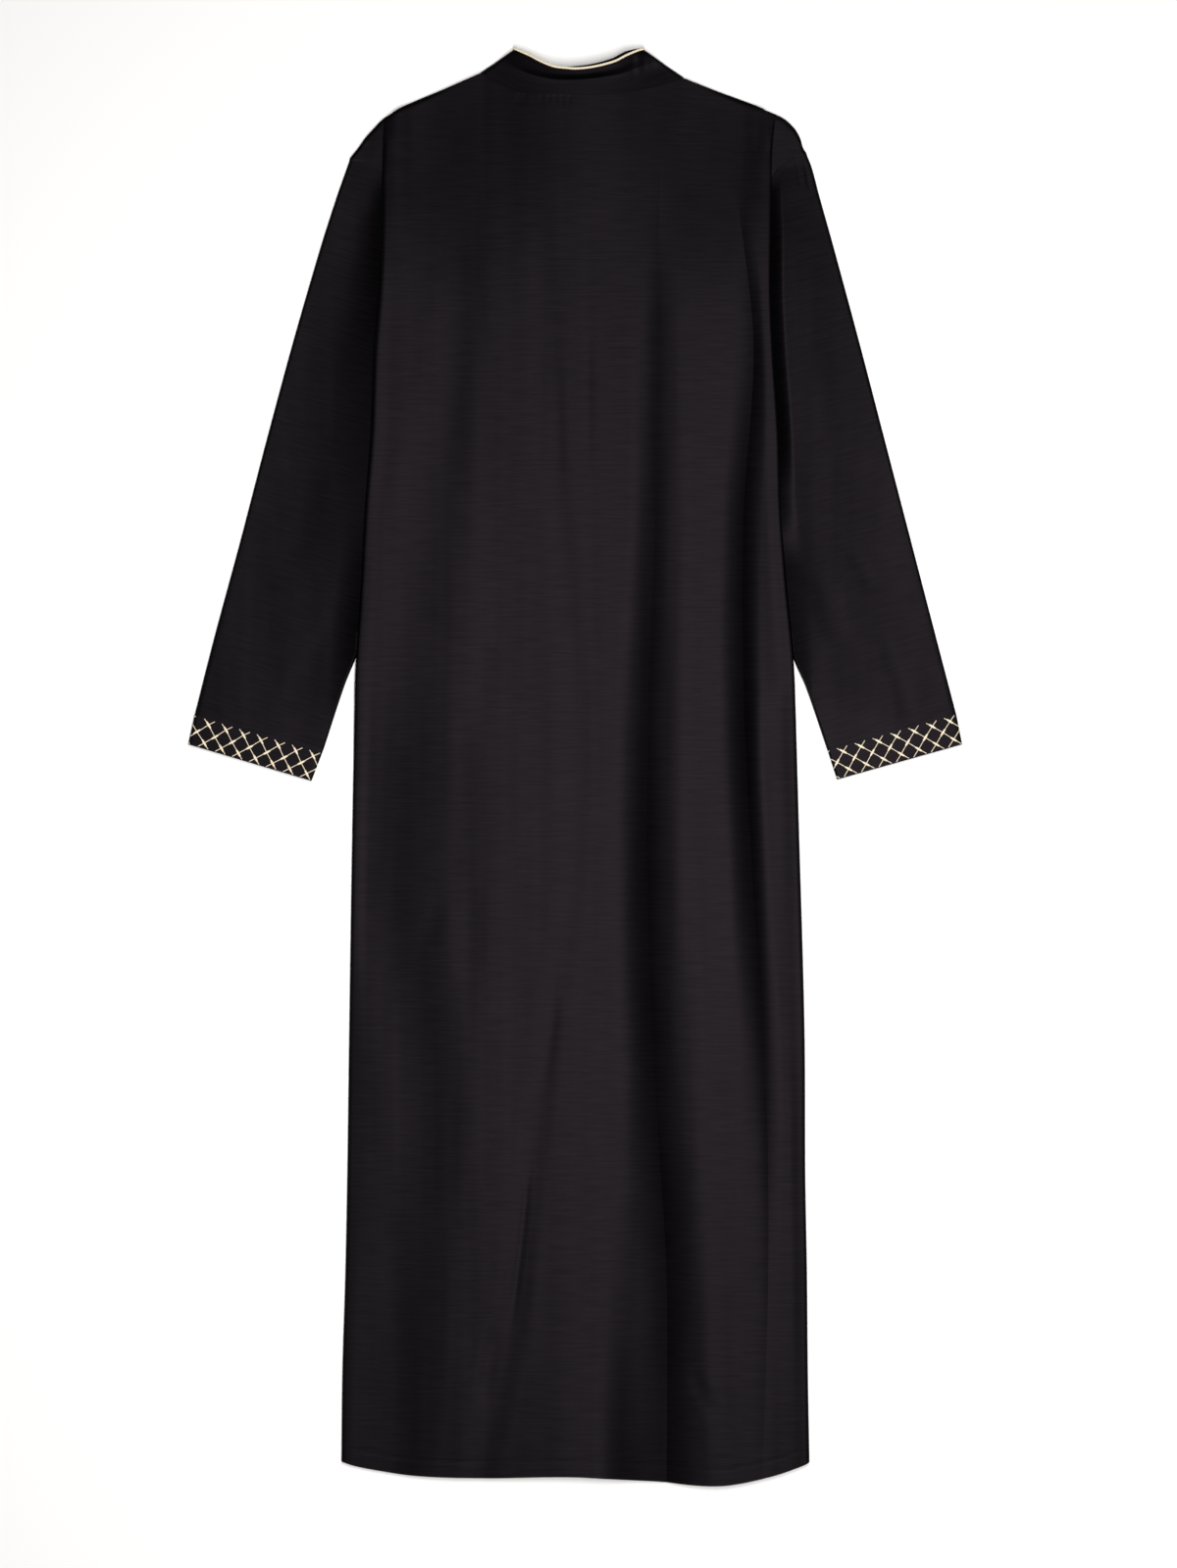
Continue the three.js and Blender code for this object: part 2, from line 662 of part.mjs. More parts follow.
const qamis = new THREE.Group();
qamis.name = 'qamis';

const back = joined(
  wall(BACK_ROWS.map(backRow), CLOTH),
  flatPiece(capOutline('left'), CAP_BOTTOM, CAP_TOP),
  flatPiece(capOutline('right'), CAP_BOTTOM, CAP_TOP),
);
qamis.add(piece('back_panel', back, BLACK, 0.75));
qamis.add(piece('front_panel', flatPiece(frontOutline(), 0, CLOTH), BLACK, 0.75));
qamis.add(piece(
  'front_placket',
  flatPiece(placketOutline(), CLOTH + LAYER, 2 * CLOTH + LAYER),
  BLACK,
  0.75,
));
for (const side of Object.keys(SIDE)) {
  qamis.add(piece(`sleeve_${side}`, sleeve(side), BLACK, 0.75));
  qamis.add(piece(`cuff_${side}`, cuff(side), BLACK, 0.8));
}
qamis.add(piece('collar', collar(), BLACK, 0.8));
qamis.add(piece('collar_piping', piping(), GOLD, 0.5));

export default qamis;
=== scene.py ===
"""A long-sleeved qamis laid flat with its back up.

Each operator makes one piece of the garment, or the stage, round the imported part.
Positions in the tables are millimetres in the part's own frame: +Y from the hem to the
collar, +X to the right seen from above, +Z up from the surface the garment lies on.
"""

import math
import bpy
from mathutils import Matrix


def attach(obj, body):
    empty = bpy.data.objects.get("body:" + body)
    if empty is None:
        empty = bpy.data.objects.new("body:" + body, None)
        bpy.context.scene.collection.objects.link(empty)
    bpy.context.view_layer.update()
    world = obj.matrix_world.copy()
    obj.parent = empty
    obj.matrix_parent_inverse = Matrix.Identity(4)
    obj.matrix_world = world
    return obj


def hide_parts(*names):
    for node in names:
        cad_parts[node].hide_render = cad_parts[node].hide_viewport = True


bl_info = {
    "name": "Qamis laid flat",
    "version": (1, 0, 0),
    "blender": (4, 5, 0),
    "location": "3D View > Sidebar > Qamis",
    "description": "Builds the cloth, cuff embroidery, collar cord and stage of a qamis",
    "category": "Object",
}

import bmesh
import bpy
import numpy as np
from mathutils import Vector, noise

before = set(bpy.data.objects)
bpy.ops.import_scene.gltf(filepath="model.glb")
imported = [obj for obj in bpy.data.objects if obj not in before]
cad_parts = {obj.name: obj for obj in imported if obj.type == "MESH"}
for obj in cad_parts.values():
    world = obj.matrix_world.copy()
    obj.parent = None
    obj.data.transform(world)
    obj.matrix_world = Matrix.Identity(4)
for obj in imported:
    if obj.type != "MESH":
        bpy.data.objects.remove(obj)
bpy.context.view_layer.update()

MM = 0.001
# Which way each side lies along X.
SIDE = {"left": -1, "right": 1}

# ---------------------------------------------------------------- sizes and places

# The body's folded sides, from the hem's corners to the shoulders.
SIDES = {
    "y": [-708.5, -617.5, -517.5, -417.5, -267.5, -67.5, 82.5, 122.5, 182.5, 262.5, 342.5,
          422.5, 482.5, 542.5, 622.5, 660.5],
    "left": [-238.5, -237.5, -234.5, -232.5, -230.5, -227.5, -224.5, -222.5, -218.5, -214.5,
             -208.5, -205.5, -200.5, -197.5, -196.5, -196.0],
    "right": [239.0, 237.4, 236.5, 234.8, 234.0, 228.5, 224.0, 221.5, 215.5, 209.5, 207.0,
              201.8, 199.2, 199.5, 200.8, 204.0],
}
BODY_LOW = SIDES["y"][0]
BODY_TOP = SIDES["y"][-1]
# The lower edge of the back, between the same corners.
HEM = {
    "x": [-238.5, -226.5, -201.5, -164.5, -95.0, -1.5, 70.5, 125.0, 158.5, 201.5, 232.5, 239.0],
    "y": [-708.5, -712.5, -717.5, -722.5, -724.5, -722.8, -727.8, -732.3, -731.5, -722.5,
          -712.0, -708.5],
}
# The upper edge: each shoulder's line from the folded side to the neck, and the neck seam.
NECK_LEFT = -96.5
NECK_RIGHT = 110.5
SHOULDER_LEFT = {"x": [-196.0, -179.5, -133.5, -96.5], "y": [659.0, 672.5, 692.5, 708.5]}
SHOULDER_RIGHT = {"x": [110.5, 138.5, 190.5, 204.0], "y": [703.5, 692.5, 672.5, 661.0]}
NECKLINE = {
    "x": [-96.5, -73.5, -58.5, 3.5, 53.5, 82.0, 110.5],
    "y": [708.5, 694.5, 689.0, 685.5, 688.5, 694.5, 703.5],
}
# How far the front's neckline lies below the back's.
FRONT_NECK_DROP = 3.0
# How far up and down the body its rows bend to the hem's curve and to the shoulders' line.
BEND_REACH = 130.0

# Heights above the surface: of the back between its sides, and along its upper edge.
PLATEAU = 13.0
SHOULDER_HEIGHT = 2.9
NECK_HEIGHT = 12.4
# How the back rises from the shoulders' line, in its middle and by its sides: the share of
# the rise in the first turn, the width of that turn and the length of the slope behind it.
TOP = {"share": (0.2, 0.4), "turn": (4.0, 5.0), "length": (240.0, 170.0)}
# How far the back goes on under the body at its folded sides.
UNDERLAP = 24.0
# By the sides: the heights of the cloth turned under and of the folded edge, and how wide
# the slope from each folded edge up to the middle is.
SIDE_LEVELS = {
    "y": [-740, 0, 50, 92, 400, 560, 600, 628, 665],
    "under": [1.5, 1.5, 3.6, 7.0, 7.0, 7.0, 6.4, 2.6, 2.6],
    "left": [6.4, 6.4, 9.6, 12.0, 15.0, 14.8, 13.8, 12.4, 7.2],
    "right": [10.6, 10.6, 12.2, 15.0, 15.4, 14.8, 13.8, 12.4, 7.2],
    "left_slope": [180, 180, 150, 110, 80, 70, 60, 60, 60],
    "right_slope": [50, 50, 50, 40, 40, 40, 40, 40, 40],
}

# The long soft folds of the back: middle, half-width and depth at the stations, from the
# shoulders to the hem. A negative depth is a ridge. A fold with a wall is creased along its
# middle, and the wall says how fast it steepens towards the crease: 1 is straight. One with
# a half of its own to the left has another width there.
STATIONS = [592.5, 432.5, 252.5, 62.5, -127.5, -327.5, -517.5, -725]
FOLDS = {
    "main trough": {
        "wall": 2,
        "x": [86.5, 83.5, 81.5, 74.5, 73.5, 81.5, 93.0, 93.0],
        "half": [13, 24, 30, 36, 38, 42, 44, 40],
        "left": [13, 24, 30, 36, 38, 42, 58, 66],
        "depth": [0.6, 2.6, 4.2, 6.3, 8.0, 8.2, 7.6, 1.6],
    },
    "right trough": {
        "wall": 2,
        "x": [163.5, 181.5, 171.5, 172.5, 181.5, 194.5, 196.5, 190.5],
        "half": [12, 17, 19, 19, 20, 18, 13, 13],
        "left": [15, 22, 24, 26, 27, 24, 16, 15],
        "depth": [0.1, 3.0, 4.4, 6.2, 5.5, 2.8, 0.8, 0.4],
    },
    "left trough": {
        "x": [-108.5, -120.5, -150.5, -176.5, -191.5, -161.5, -176.5, -186.5],
        "half": [34, 36, 50, 60, 60, 60, 55, 50],
        "depth": [0.6, 1.0, 1.4, 1.7, 1.8, 2.2, 2.1, 2.2],
    },
    "hem trough": {
        "wall": 1.6,
        "x": [86.5, 83.5, 81.5, 74.5, 73.5, 81.5, 93.0, 93.0],
        "half": [46, 46, 46, 46, 46, 46, 46, 46],
        "left": [70, 70, 70, 70, 70, 70, 74, 74],
        "depth": [0, 0, 0, 0, 0, 0, 1.6, 7.6],
    },
    "middle crease": {
        "x": [-36.5, -31.5, -16.5, -2.5, -6.5, -36.5, -58.5, -98.5],
        "half": [22, 20, 20, 22, 20, 20, 22, 26],
        "depth": [0.3, 0.5, 0.5, 0.6, 0.4, 0.6, 1.0, 0.9],
    },
    "ridge by the main trough": {
        "x": [118, 116, 117, 113, 116, 134, 142, 148],
        "half": [18, 20, 22, 22, 24, 24, 24, 26],
        "depth": [0, -0.3, -0.4, -0.5, -0.5, -0.6, -0.5, -0.6],
    },
    "ridge by the hem trough": {
        "x": [18, 18, 18, 18, 18, 18, 18, 18],
        "half": [40, 40, 40, 40, 40, 40, 40, 54],
        "left": [90, 90, 90, 90, 90, 90, 90, 130],
        "depth": [0, 0, 0, 0, 0, 0, -0.7, -5.0],
    },
    "ridge along the right side": {
        "x": [190, 196, 200, 208, 215, 218, 220, 222],
        "half": [12, 14, 16, 18, 18, 18, 20, 20],
        "depth": [0, -0.2, -0.4, -0.4, -0.4, -0.5, -0.5, -0.5],
    },
}

# Short creases of the back: the line each follows from its top to its bottom, then its
# half-width and depth. They fade out at both ends.
BACK_CREASES = [
    {"name": "thin middle crease", "y": [-395, -485, -580], "x": [-46, -55, -67], "half": 5,
     "depth": 0.6},
    {"name": "hem crease", "y": [-560, -655], "x": [-80, -98], "half": 14, "depth": 0.8},
    {"name": "hem dent", "y": [-615, -665], "x": [116, 145], "half": 9, "depth": 0.5},
    {"name": "dent ridge", "y": [-610, -665], "x": [130, 160], "half": 9, "depth": -0.2},
    {"name": "chest streak 1", "y": [440, 282], "x": [-37, -36], "half": 9, "depth": 0.2},
    {"name": "chest streak 2", "y": [430, 270], "x": [-17, -15], "half": 8, "depth": 0.12},
    {"name": "chest streak 3", "y": [450, 290], "x": [13, 12], "half": 9, "depth": 0.2},
    {"name": "waist streak", "y": [-225, -335], "x": [-18, -34], "half": 9, "depth": 0.2},
    {"name": "left streak 1", "y": [150, 30], "x": [-91, -97], "half": 20, "depth": 0.3},
    {"name": "left streak 2", "y": [-110, -225], "x": [-106, -107], "half": 20, "depth": 0.3},
    {"name": "left streak 3", "y": [-130, -190], "x": [-140, -152], "half": 18, "depth": 0.3},
    {"name": "shoulder dent", "y": [684, 622], "x": [187, 191], "half": 12, "depth": 1.1},
]
# Puckers under the neck seam: their places, half-width and depth, and how far down they reach.
NECK_PUCKERS = {"x": [-57, -52, -34, -27, -20, -13, -6], "half": 2.6, "depth": 0.3, "reach": 13}
# The groove along the hem's stitched line.
HEM_GROOVE = {"half": 1.8, "depth": 0.3}
# Low random waves of the cloth: height, width and length, and seed.
BACK_WAVES = [(0.5, (60, 260), 1.3), (0.24, (24, 190), 8.1), (0.07, (10, 130), 4.6)]
CAP_WAVES = [(0.25, (16, 22), 2.2)]
SLEEVE_WAVES = {
    "left": [(0.35, (34, 160), 5.1), (0.1, (12, 90), 7.1)],
    "right": [(0.35, (34, 160), 9.4), (0.1, (12, 90), 11.4)],
}

# The sleeves' plan: the folded edges outside and inside, the seam at the top, of which most
# is under the body, and the cuffs' free edges.
SLEEVES = {
    "left": {
        "outer": [(-230.5, 619.5), (-236.5, 602.5), (-243.5, 582.5), (-259.5, 532.5),
                  (-288.5, 432.5), (-315.5, 332.5), (-341.5, 232.5), (-368.5, 132.5),
                  (-388.5, 53.5)],
        "armhole": [(-230.5, 619.5), (-214.5, 617.0), (-197.5, 604.5), (-186, 570),
                    (-172, 480), (-158, 380), (-150, 310)],
        "inner": [(-150, 310), (-167, 262), (-190, 198), (-223.5, 112.5), (-235.7, 82.5),
                  (-256.5, 19.5)],
        "end": [(-395, 23.5), (-269.2, -13.9)],
    },
    "right": {
        "outer": [(236.5, 625.2), (241.5, 612.5), (249.5, 582.5), (263.5, 532.5),
                  (290.5, 432.5), (316.5, 332.5), (342.5, 232.5), (368.5, 132.5),
                  (388.9, 54.5)],
        "armhole": [(236.5, 625.2), (223.5, 621.5), (205.5, 608.5), (190, 572), (174, 480),
                    (160, 380), (150, 310)],
        "inner": [(150, 310), (167, 262), (190, 198), (224.3, 106.5), (235.3, 81.5),
                  (257, 18.5)],
        "end": [(395, 23.5), (267.1, -12.5)],
    },
}
# The radius of the sleeves' and cuffs' folded edges, the cuffs' height, and the height at the
# armhole seam.
EDGE_RADIUS = 2.3
CUFF_HEIGHT = 6.2
SEAM_HEIGHT = 4.3
# The sleeves' upper face from the cuff to the armhole: its height beside the body's fold and
# at the outer edge, how steeply it falls between them, and how deep and wide the valley is
# that it dips into beside the fold; one of negative depth is a swell. The wall says how fast
# that valley steepens, as in the folds.
SLEEVE_LEVELS = {
    "left": {
        "y": [20, 80, 120, 270, 400, 480, 540, 590, 630],
        "inner": [6.2, 7.6, 8.2, 10.6, 11.2, 12.8, 11.6, 7.2, 4.8],
        "outer": [6.2, 4.8, 4.4, 3.6, 3.4, 3.4, 3.6, 4.2, 4.6],
        "fall": [1.5, 2.0, 2.2, 2.6, 3.0, 4.0, 5.2, 7.0, 1.0],
        "dip": [0, -5.0, -4.6, 0, 0, 0, 0, 0, 0],
        "wide": [36, 34, 28, 20, 20, 20, 20, 20, 20],
        "wall": 2,
    },
    "right": {
        "y": [20, 90, 190, 270, 350, 530, 600, 640],
        "inner": [6.2, 12.0, 14.4, 12.4, 11.4, 11.4, 7.4, 4.8],
        "outer": [6.2, 4.6, 4.2, 4.4, 4.6, 4.6, 4.6, 4.6],
        "fall": [1.2, 2.2, 2.4, 1.8, 1.4, 1.2, 1.2, 1.0],
        "dip": [0, -2.5, -1.2, 5.0, 9.4, 9.4, 4.6, 0],
        "wide": [14, 18, 22, 15, 14, 13, 11, 10],
        "wall": 1.5,
    },
}
# Short creases of the sleeves, as on the back.
SLEEVE_CREASES = {
    "left": [
        {"name": "elbow crease", "y": [190, 50], "x": [-232, -280], "half": 18, "depth": 0.21},
        {"name": "forearm crease", "y": [150, 40], "x": [-254, -303], "half": 18, "depth": 0.21},
        {"name": "upper crease", "y": [330, 190], "x": [-262, -290], "half": 22, "depth": 0.24},
    ],
    "right": [
        {"name": "elbow dent", "y": [205, 118], "x": [243, 270], "half": 26, "depth": 0.54},
        {"name": "elbow crease", "y": [228, 175], "x": [281, 305], "half": 14, "depth": 0.21},
        {"name": "forearm crease", "y": [140, 35], "x": [316, 345], "half": 14, "depth": 0.3},
        {"name": "armhole pucker 1", "y": [622, 590], "x": [226, 229], "half": 3, "depth": 0.42},
        {"name": "armhole pucker 2", "y": [620, 588], "x": [234, 239], "half": 3, "depth": 0.42},
    ],
}

# The shoulders outside the body's folds: outline, the seam's end inside the body, and how
# deep the armhole seam is drawn.
CAPS = {
    "left": {
        "outline": [(-180, 672), (-195.5, 662.5), (-205.5, 652.5), (-214.5, 642.5),
                    (-221.5, 632.5), (-229.5, 622.5)],
        "inside": [(-182, 580)],
        "seam": 0.12,
    },
    "right": {
        "outline": [(190, 672.6), (212.5, 662.5), (223.5, 652.5), (229.5, 642.5),
                    (232.5, 632.5), (236, 626.8)],
        "inside": [(187, 582)],
        "seam": 0.4,
    },
}
CAP_TOP = 4.2

# The collar's free edge, as it lies.
COLLAR_TOP = {
    "x": [-61.5, -45.5, -33.5, -21.5, -9.5, 3.5, 14.5, 26.5, 38.5, 50.5, 62.5, 68.5],
    "y": [733.0, 725.2, 718.5, 713.7, 712.3, 713.0, 714.6, 717.6, 721.9, 728.6, 732.2, 733.2],
}
# The collar's height above the surface at its back, its side edges' radius, and the gap
# between its ends at the front.
COLLAR_HEIGHT_BACK = 21.5
COLLAR_EDGE_RADIUS = 2.6
COLLAR_SLIT = 3.0
# The collar lies flat up to here, by the share of its height, and stands from here on.
COLLAR_CREASE = 0.56
# How far the front half of the free edge rises from the surface.
COLLAR_FRONT_LIFT = 3.9

# The cord's centre along the collar's edge, by the share round the collar: of the way from
# the neckline to the free edge. The edge rolls over it and shows above it on the right.
CORD_PLACE = {
    "round": [0.0, 0.25, 0.40, 0.45, 0.49, 0.60, 0.68, 0.735, 0.76, 1.0],
    "up": [0.97, 0.985, 0.985, 0.975, 0.935, 0.915, 0.915, 0.96, 0.975, 0.97],
}
CORD = {"width": 2.3, "turn": 3.0, "lobes": 0.13, "lift": 0.45, "taper": 1.2}
# Soft upright wrinkles of the collar by its right end: place and height.
COLLAR_WRINKLES = [(58.5, -0.2), (64.5, 0.25), (71.0, -0.25), (78.0, -0.15), (84.5, 0.2)]
WRINKLE_HALF = 4.4

# The cuffs' lattice, in millimetres: how far its three rows of crossings lie from the free
# edge; the first crossing's share round the band, and the shares from one to the next on
# the upper and the under side.
LATTICE = {
    "left": {"rows": (25.0, 14.9, 5.9), "first": 0.1195, "upper": 0.1376, "under": 0.1481},
    "right": {"rows": (26.0, 17.0, 7.4), "first": 0.0585, "upper": 0.1386, "under": 0.1471},
}
# How far the threads go on above the upper crossings, and how far from the free edge they end.
STUB_TOP = 5.8
STUB_LOW = 0.7
# How many crossings a row has, and how many of them are on the upper side.
CROSSINGS = 14
UPPER_CROSSINGS = 7
THREAD = {"width": 0.85, "height": 0.75, "turn": 1.9, "lobes": 0.16, "lift": 0.12, "taper": 0.8}
SPINDLE = {"length": 9.0, "width": 2.3, "height": 1.1, "turn": 0.9, "lobes": 0.03, "lift": 0.1,
           "slant": 0.72, "taper": 0.47}

# The front: its middle, the slit from the neck, the strip behind the slit, and how far the
# strip's stitching keeps from its sides, the slit's end and the neckline.
CENTRE = 7.0
SLIT_LENGTH = 300.0
SLIT_WIDTH = 2.0
PLACKET = {"width": 38.0, "length": 316.0, "drop": 2.0}
PLACKET_SEAM = {"side": 2.5, "below": 12, "above": 3}
# How far the front keeps inside the back's folded sides and above its hem, and where its
# stitched hem line ends.
FRONT_INSET = 2.5
FRONT_HEM = {"ends": (-234.0, 235.0), "rise": 3.5}
# The gap at the neck seam.
SEAM = 0.4

# The solids' cloth and the gap between their layers, and the walls drawn here: of cloth, of
# the front's shoulders and of the interfaced bands.
CLOTH = 1.2
LAYER = 0.3
CLOTH_WALL = 1.0
UNDER_WALL = 0.9
BAND_WALL = 1.4
# How far the front and the cuffs' undersides lie above the floor, the cuffs on their thread.
FRONT_RAISE = 0.25
THREAD_RAISE = 0.8

# Sewing thread: the share of a stitch that shows, its width and its heights.
STITCH = {"share": 0.72, "width": 0.5, "back_height": 0.4, "front_height": 0.36, "lift": 0.1}

# The back's columns between its folded edges, those that run down the creased troughs, and
# the columns of each turned-under side.
BACK_COLUMNS = 180
CREASE_COLUMNS = {"main trough": 124, "right trough": 160}
LAP_COLUMNS = 5
TURN_COLUMNS = 7
# The sleeves' column that runs along the body's fold.
SLEEVE_CREASE = 44

# The camera looks straight down: its lens and sensor in millimetres, and in metres the size
# of the view on the garment and the point in its middle.
CAMERA = {"lens": 100.0, "sensor": 36.0, "frame": (1.200, 1.599), "over": (0.0135, -0.017, 0.009)}
# The floor: half its side, and how far it keeps under the garment.
FLOOR = {"half": 6, "drop": 0.0004}
# Soft boxes: name, place, turn about Y in degrees from facing down, width and length in
# metres and power in watts.
LIGHTS = [
    ("Overhead box", (0.20, -0.10, 2.6), 0, (0.5, 2.0), 88),
    ("Right strip", (2.8, 0.0, 1.6), 60, (0.9, 2.6), 4),
]
WORLD_LIGHT = 0.12

# ---------------------------------------------------------------- small helpers


def smooth(low, high, value):
    """An eased step from 0 at low to 1 at high."""
    t = np.clip((np.asarray(value, float) - low) / (high - low), 0, 1)
    return t * t * (3 - 2 * t)


def through(at, values, where):
    """A cubic curve through the given values."""
    at, values = np.asarray(at, float), np.asarray(values, float)
    if at[-1] < at[0]:
        at, values = at[::-1], values[::-1]
    slopes = np.empty_like(values)
    slopes[1:-1] = (values[2:] - values[:-2]) / (at[2:] - at[:-2])
    slopes[0] = (values[1] - values[0]) / (at[1] - at[0])
    slopes[-1] = (values[-1] - values[-2]) / (at[-1] - at[-2])
    where = np.asarray(where, float)
    i = np.clip(np.searchsorted(at, where, side="right") - 1, 0, len(at) - 2)
    span = at[i + 1] - at[i]
    t = np.clip((where - at[i]) / span, 0, 1)
    t2, t3 = t * t, t * t * t
    return (
        values[i] * (2 * t3 - 3 * t2 + 1)
        + slopes[i] * span * (t3 - 2 * t2 + t)
        + values[i + 1] * (3 * t2 - 2 * t3)
        + slopes[i + 1] * span * (t3 - t2)
    )


def easing(rows, key, where):
    """Values that ease from each row to the next and never pass them."""
    at, values = np.asarray(rows["y"], float), np.asarray(rows[key], float)
    where = np.asarray(where, float)
    i = np.clip(np.searchsorted(at, where, side="left") - 1, 0, len(at) - 2)
    t = np.clip((where - at[i]) / (at[i + 1] - at[i]), 0, 1)
    return values[i] + (values[i + 1] - values[i]) * t * t * (3 - 2 * t)


def along(points, t):
    """Points at the shares t along a chain, measured by its length."""
    points = np.asarray(points, float)
    steps = np.hypot(*np.diff(points, axis=0).T)
    lengths = np.concatenate([[0], np.cumsum(steps)])
    reach = np.asarray(t, float) * lengths[-1]
    return np.stack([through(lengths, points[:, k], reach) for k in (0, 1)], axis=-1)


def bell(offset):
    """A soft hump: 1 in the middle and 0 from an offset of 1."""
    near = np.minimum(np.abs(offset), 1)
    return (1 + np.cos(np.pi * near)) / 2


def valley(offset, wall):
    """The section of a creased trough: its walls steepen down to the crease."""
    return (1 - np.minimum(np.abs(offset), 1)) ** wall


def rounded(distance, radius):
    """How high a folded edge has risen at a distance from it: 1 from its radius on."""
    rise = np.sqrt(np.maximum(2 * distance * radius - distance * distance, 0)) / radius
    return np.where(distance < radius, rise, 1)


def run_along(route):
    """The distance run at each point of a route."""
    return np.concatenate([[0], np.cumsum(np.linalg.norm(np.diff(route, axis=0), axis=1))])


def at_runs(at, run, values):
    """The rows of values at the distances at along a run."""
    columns = range(values.shape[1])
    return np.stack([np.interp(at, run, values[:, k]) for k in columns], axis=-1)


def ripple(x, y, scale, seed):
    """Low smooth noise, the same every run."""
    flat = [
        noise.noise(Vector((a / scale[0], b / scale[1], seed)))
        for a, b in zip(np.ravel(x), np.ravel(y))
    ]
    return np.reshape(flat, np.shape(x))


def waves(rows, x, y):
    """The height of the low random waves at each point."""
    return sum(height * ripple(x, y, scale, seed) for height, scale, seed in rows)


def creases(rows, x, y):
    """The depth of the short creases at each point."""
    total = np.zeros(np.broadcast(x, y).shape)
    for row in rows:
        top, bottom = max(row["y"]), min(row["y"])
        fade = 0.3 * (top - bottom)
        line = through(row["y"], row["x"], np.clip(y, bottom, top))
        ends = smooth(bottom, bottom + fade, y) * (1 - smooth(top - fade, top, y))
        total += row["depth"] * ends * bell((x - line) / row["half"])
    return total


# ---------------------------------------------------------------- meshes


def lay_grid(name, points, flat, **choices):
    """A grid bent to an array of points, rows by columns, in millimetres.

    flat holds each point's place in the cut cloth, in metres, for the weave.
    """
    return lay_grids(name, [(points, flat)], **choices)


def lay_grids(name, grids, closed=False, opening=None, creases=(), folded=()):
    """Several bent grids as one piece.

    opening says which faces are left out, by centre; creases are columns and folded rows
    that are pressed sharp.
    """
    bm = bmesh.new()
    for points, _ in grids:
        rows, cols = points.shape[:2]
        made = bmesh.ops.create_grid(bm, x_segments=cols - 1, y_segments=rows - 1, size=0.5)
        for vert, place in zip(made["verts"], points.reshape(-1, 3) * MM):
            vert.co = place
    places = np.concatenate([flat.reshape(-1, 2) for _, flat in grids])
    uv = bm.loops.layers.uv.new("UVMap")
    bm.verts.index_update()
    for face in bm.faces:
        for loop in face.loops:
            loop[uv].uv = places[loop.vert.index]
    cols = grids[0][0].shape[1]
    for edge in bm.edges:
        (row, col), (next_row, next_col) = (divmod(vert.index, cols) for vert in edge.verts)
        along_column = col == next_col and col in creases
        along_row = row == next_row and row in folded
        edge.smooth = not (along_column or along_row)
    if opening:
        left_out = [face for face in bm.faces if opening(face.calc_center_median() / MM)]
        bmesh.ops.delete(bm, geom=left_out, context="FACES")
    if closed:
        bmesh.ops.remove_doubles(bm, verts=bm.verts, dist=0.001 * MM)
    return finish_mesh(name, bm)


def finish_mesh(name, bm, smooth_shading=True):
    """Makes the bmesh an object of the scene, sharp along its open edges."""
    for edge in bm.edges:
        if edge.is_boundary:
            edge.smooth = False
    mesh = bpy.data.meshes.new(name)
    bm.to_mesh(mesh)
    bm.free()
    mesh.polygons.foreach_set("use_smooth", [smooth_shading] * len(mesh.polygons))
    piece = bpy.data.objects.new(name, mesh)
    bpy.context.scene.collection.objects.link(piece)
    return piece


def unit(vectors):
    """The vectors, each of length 1."""
    return vectors / np.maximum(np.linalg.norm(vectors, axis=-1, keepdims=True), 1e-9)


def thread(route, up, width, height, around=7, lobes=0.0, twist=1.0, taper=0.0):
    """A thread's surface along a route: a flattened tube, twisted and tapered at will.

    lobes says how far its two plies stand out and twist how long half a turn of them is.
    """
    route, up = np.asarray(route, float), np.asarray(up, float)
    run = run_along(route)
    ahead = unit(np.gradient(route, axis=0))
    across = unit(np.cross(ahead, up))
    out = np.cross(across, ahead)
    angle = np.linspace(2 * np.pi, 0, around + 1)
    bulge = 1 + lobes * np.cos(2 * (angle[None, :] - np.pi * run[:, None] / twist))
    if taper:
        ends = np.minimum(run, run[-1] - run) / taper
        bulge = bulge * np.sqrt(np.clip(1 - (1 - np.clip(ends, 0, 1)) ** 2, 0, 1))[:, None]
    reach = (
        across[:, None] * (np.cos(angle) * width / 2)[None, :, None]
        + out[:, None] * (np.sin(angle) * height / 2)[None, :, None]
    )
    points = route[:, None] + reach * bulge[..., None]
    flat = np.stack(np.broadcast_arrays(
        run[:, None] * MM, angle[None, :] * width / 2 * MM), axis=-1)
    return points, flat


def dashes(route, up, stitch, share, width, height):
    """Single stitches along a route, each a short thread tapered at its ends."""
    run = run_along(route)
    made = []
    for start in np.arange(0.5, run[-1] - stitch, stitch):
        place = at_runs(np.linspace(start, start + stitch * share, 6), run, route)
        made.append(thread(place, np.tile(up, (6, 1)), width, height, 5, taper=stitch * 0.3))
    return made


def thicken(piece, thickness):
    """Cloth on its outer face grows inward to a wall."""
    wall = piece.modifiers.new("Cloth wall", "SOLIDIFY")
    wall.thickness = thickness * MM
    wall.offset = -1
    wall.use_even_offset = False


def add_piece(piece, material, node):
    """Rides the piece on the part and hides the solid it stands for."""
    piece.data.materials.append(material)
    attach(piece, "root")
    if node:
        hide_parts(node)


def arc_lengths(points):
    """Distance run along each row of an array of points, in metres, from its middle."""
    steps = np.linalg.norm(np.diff(points, axis=1), axis=2)
    runs = np.concatenate([np.zeros((len(points), 1)), np.cumsum(steps, axis=1)], axis=1)
    return (runs - runs[:, -1:] / 2) * MM


# ---------------------------------------------------------------- the back


def side_at(side, y):
    """Where the body's folded side lies at a height on the body."""
    return through(SIDES["y"], SIDES[side], np.clip(y, BODY_LOW, BODY_TOP))


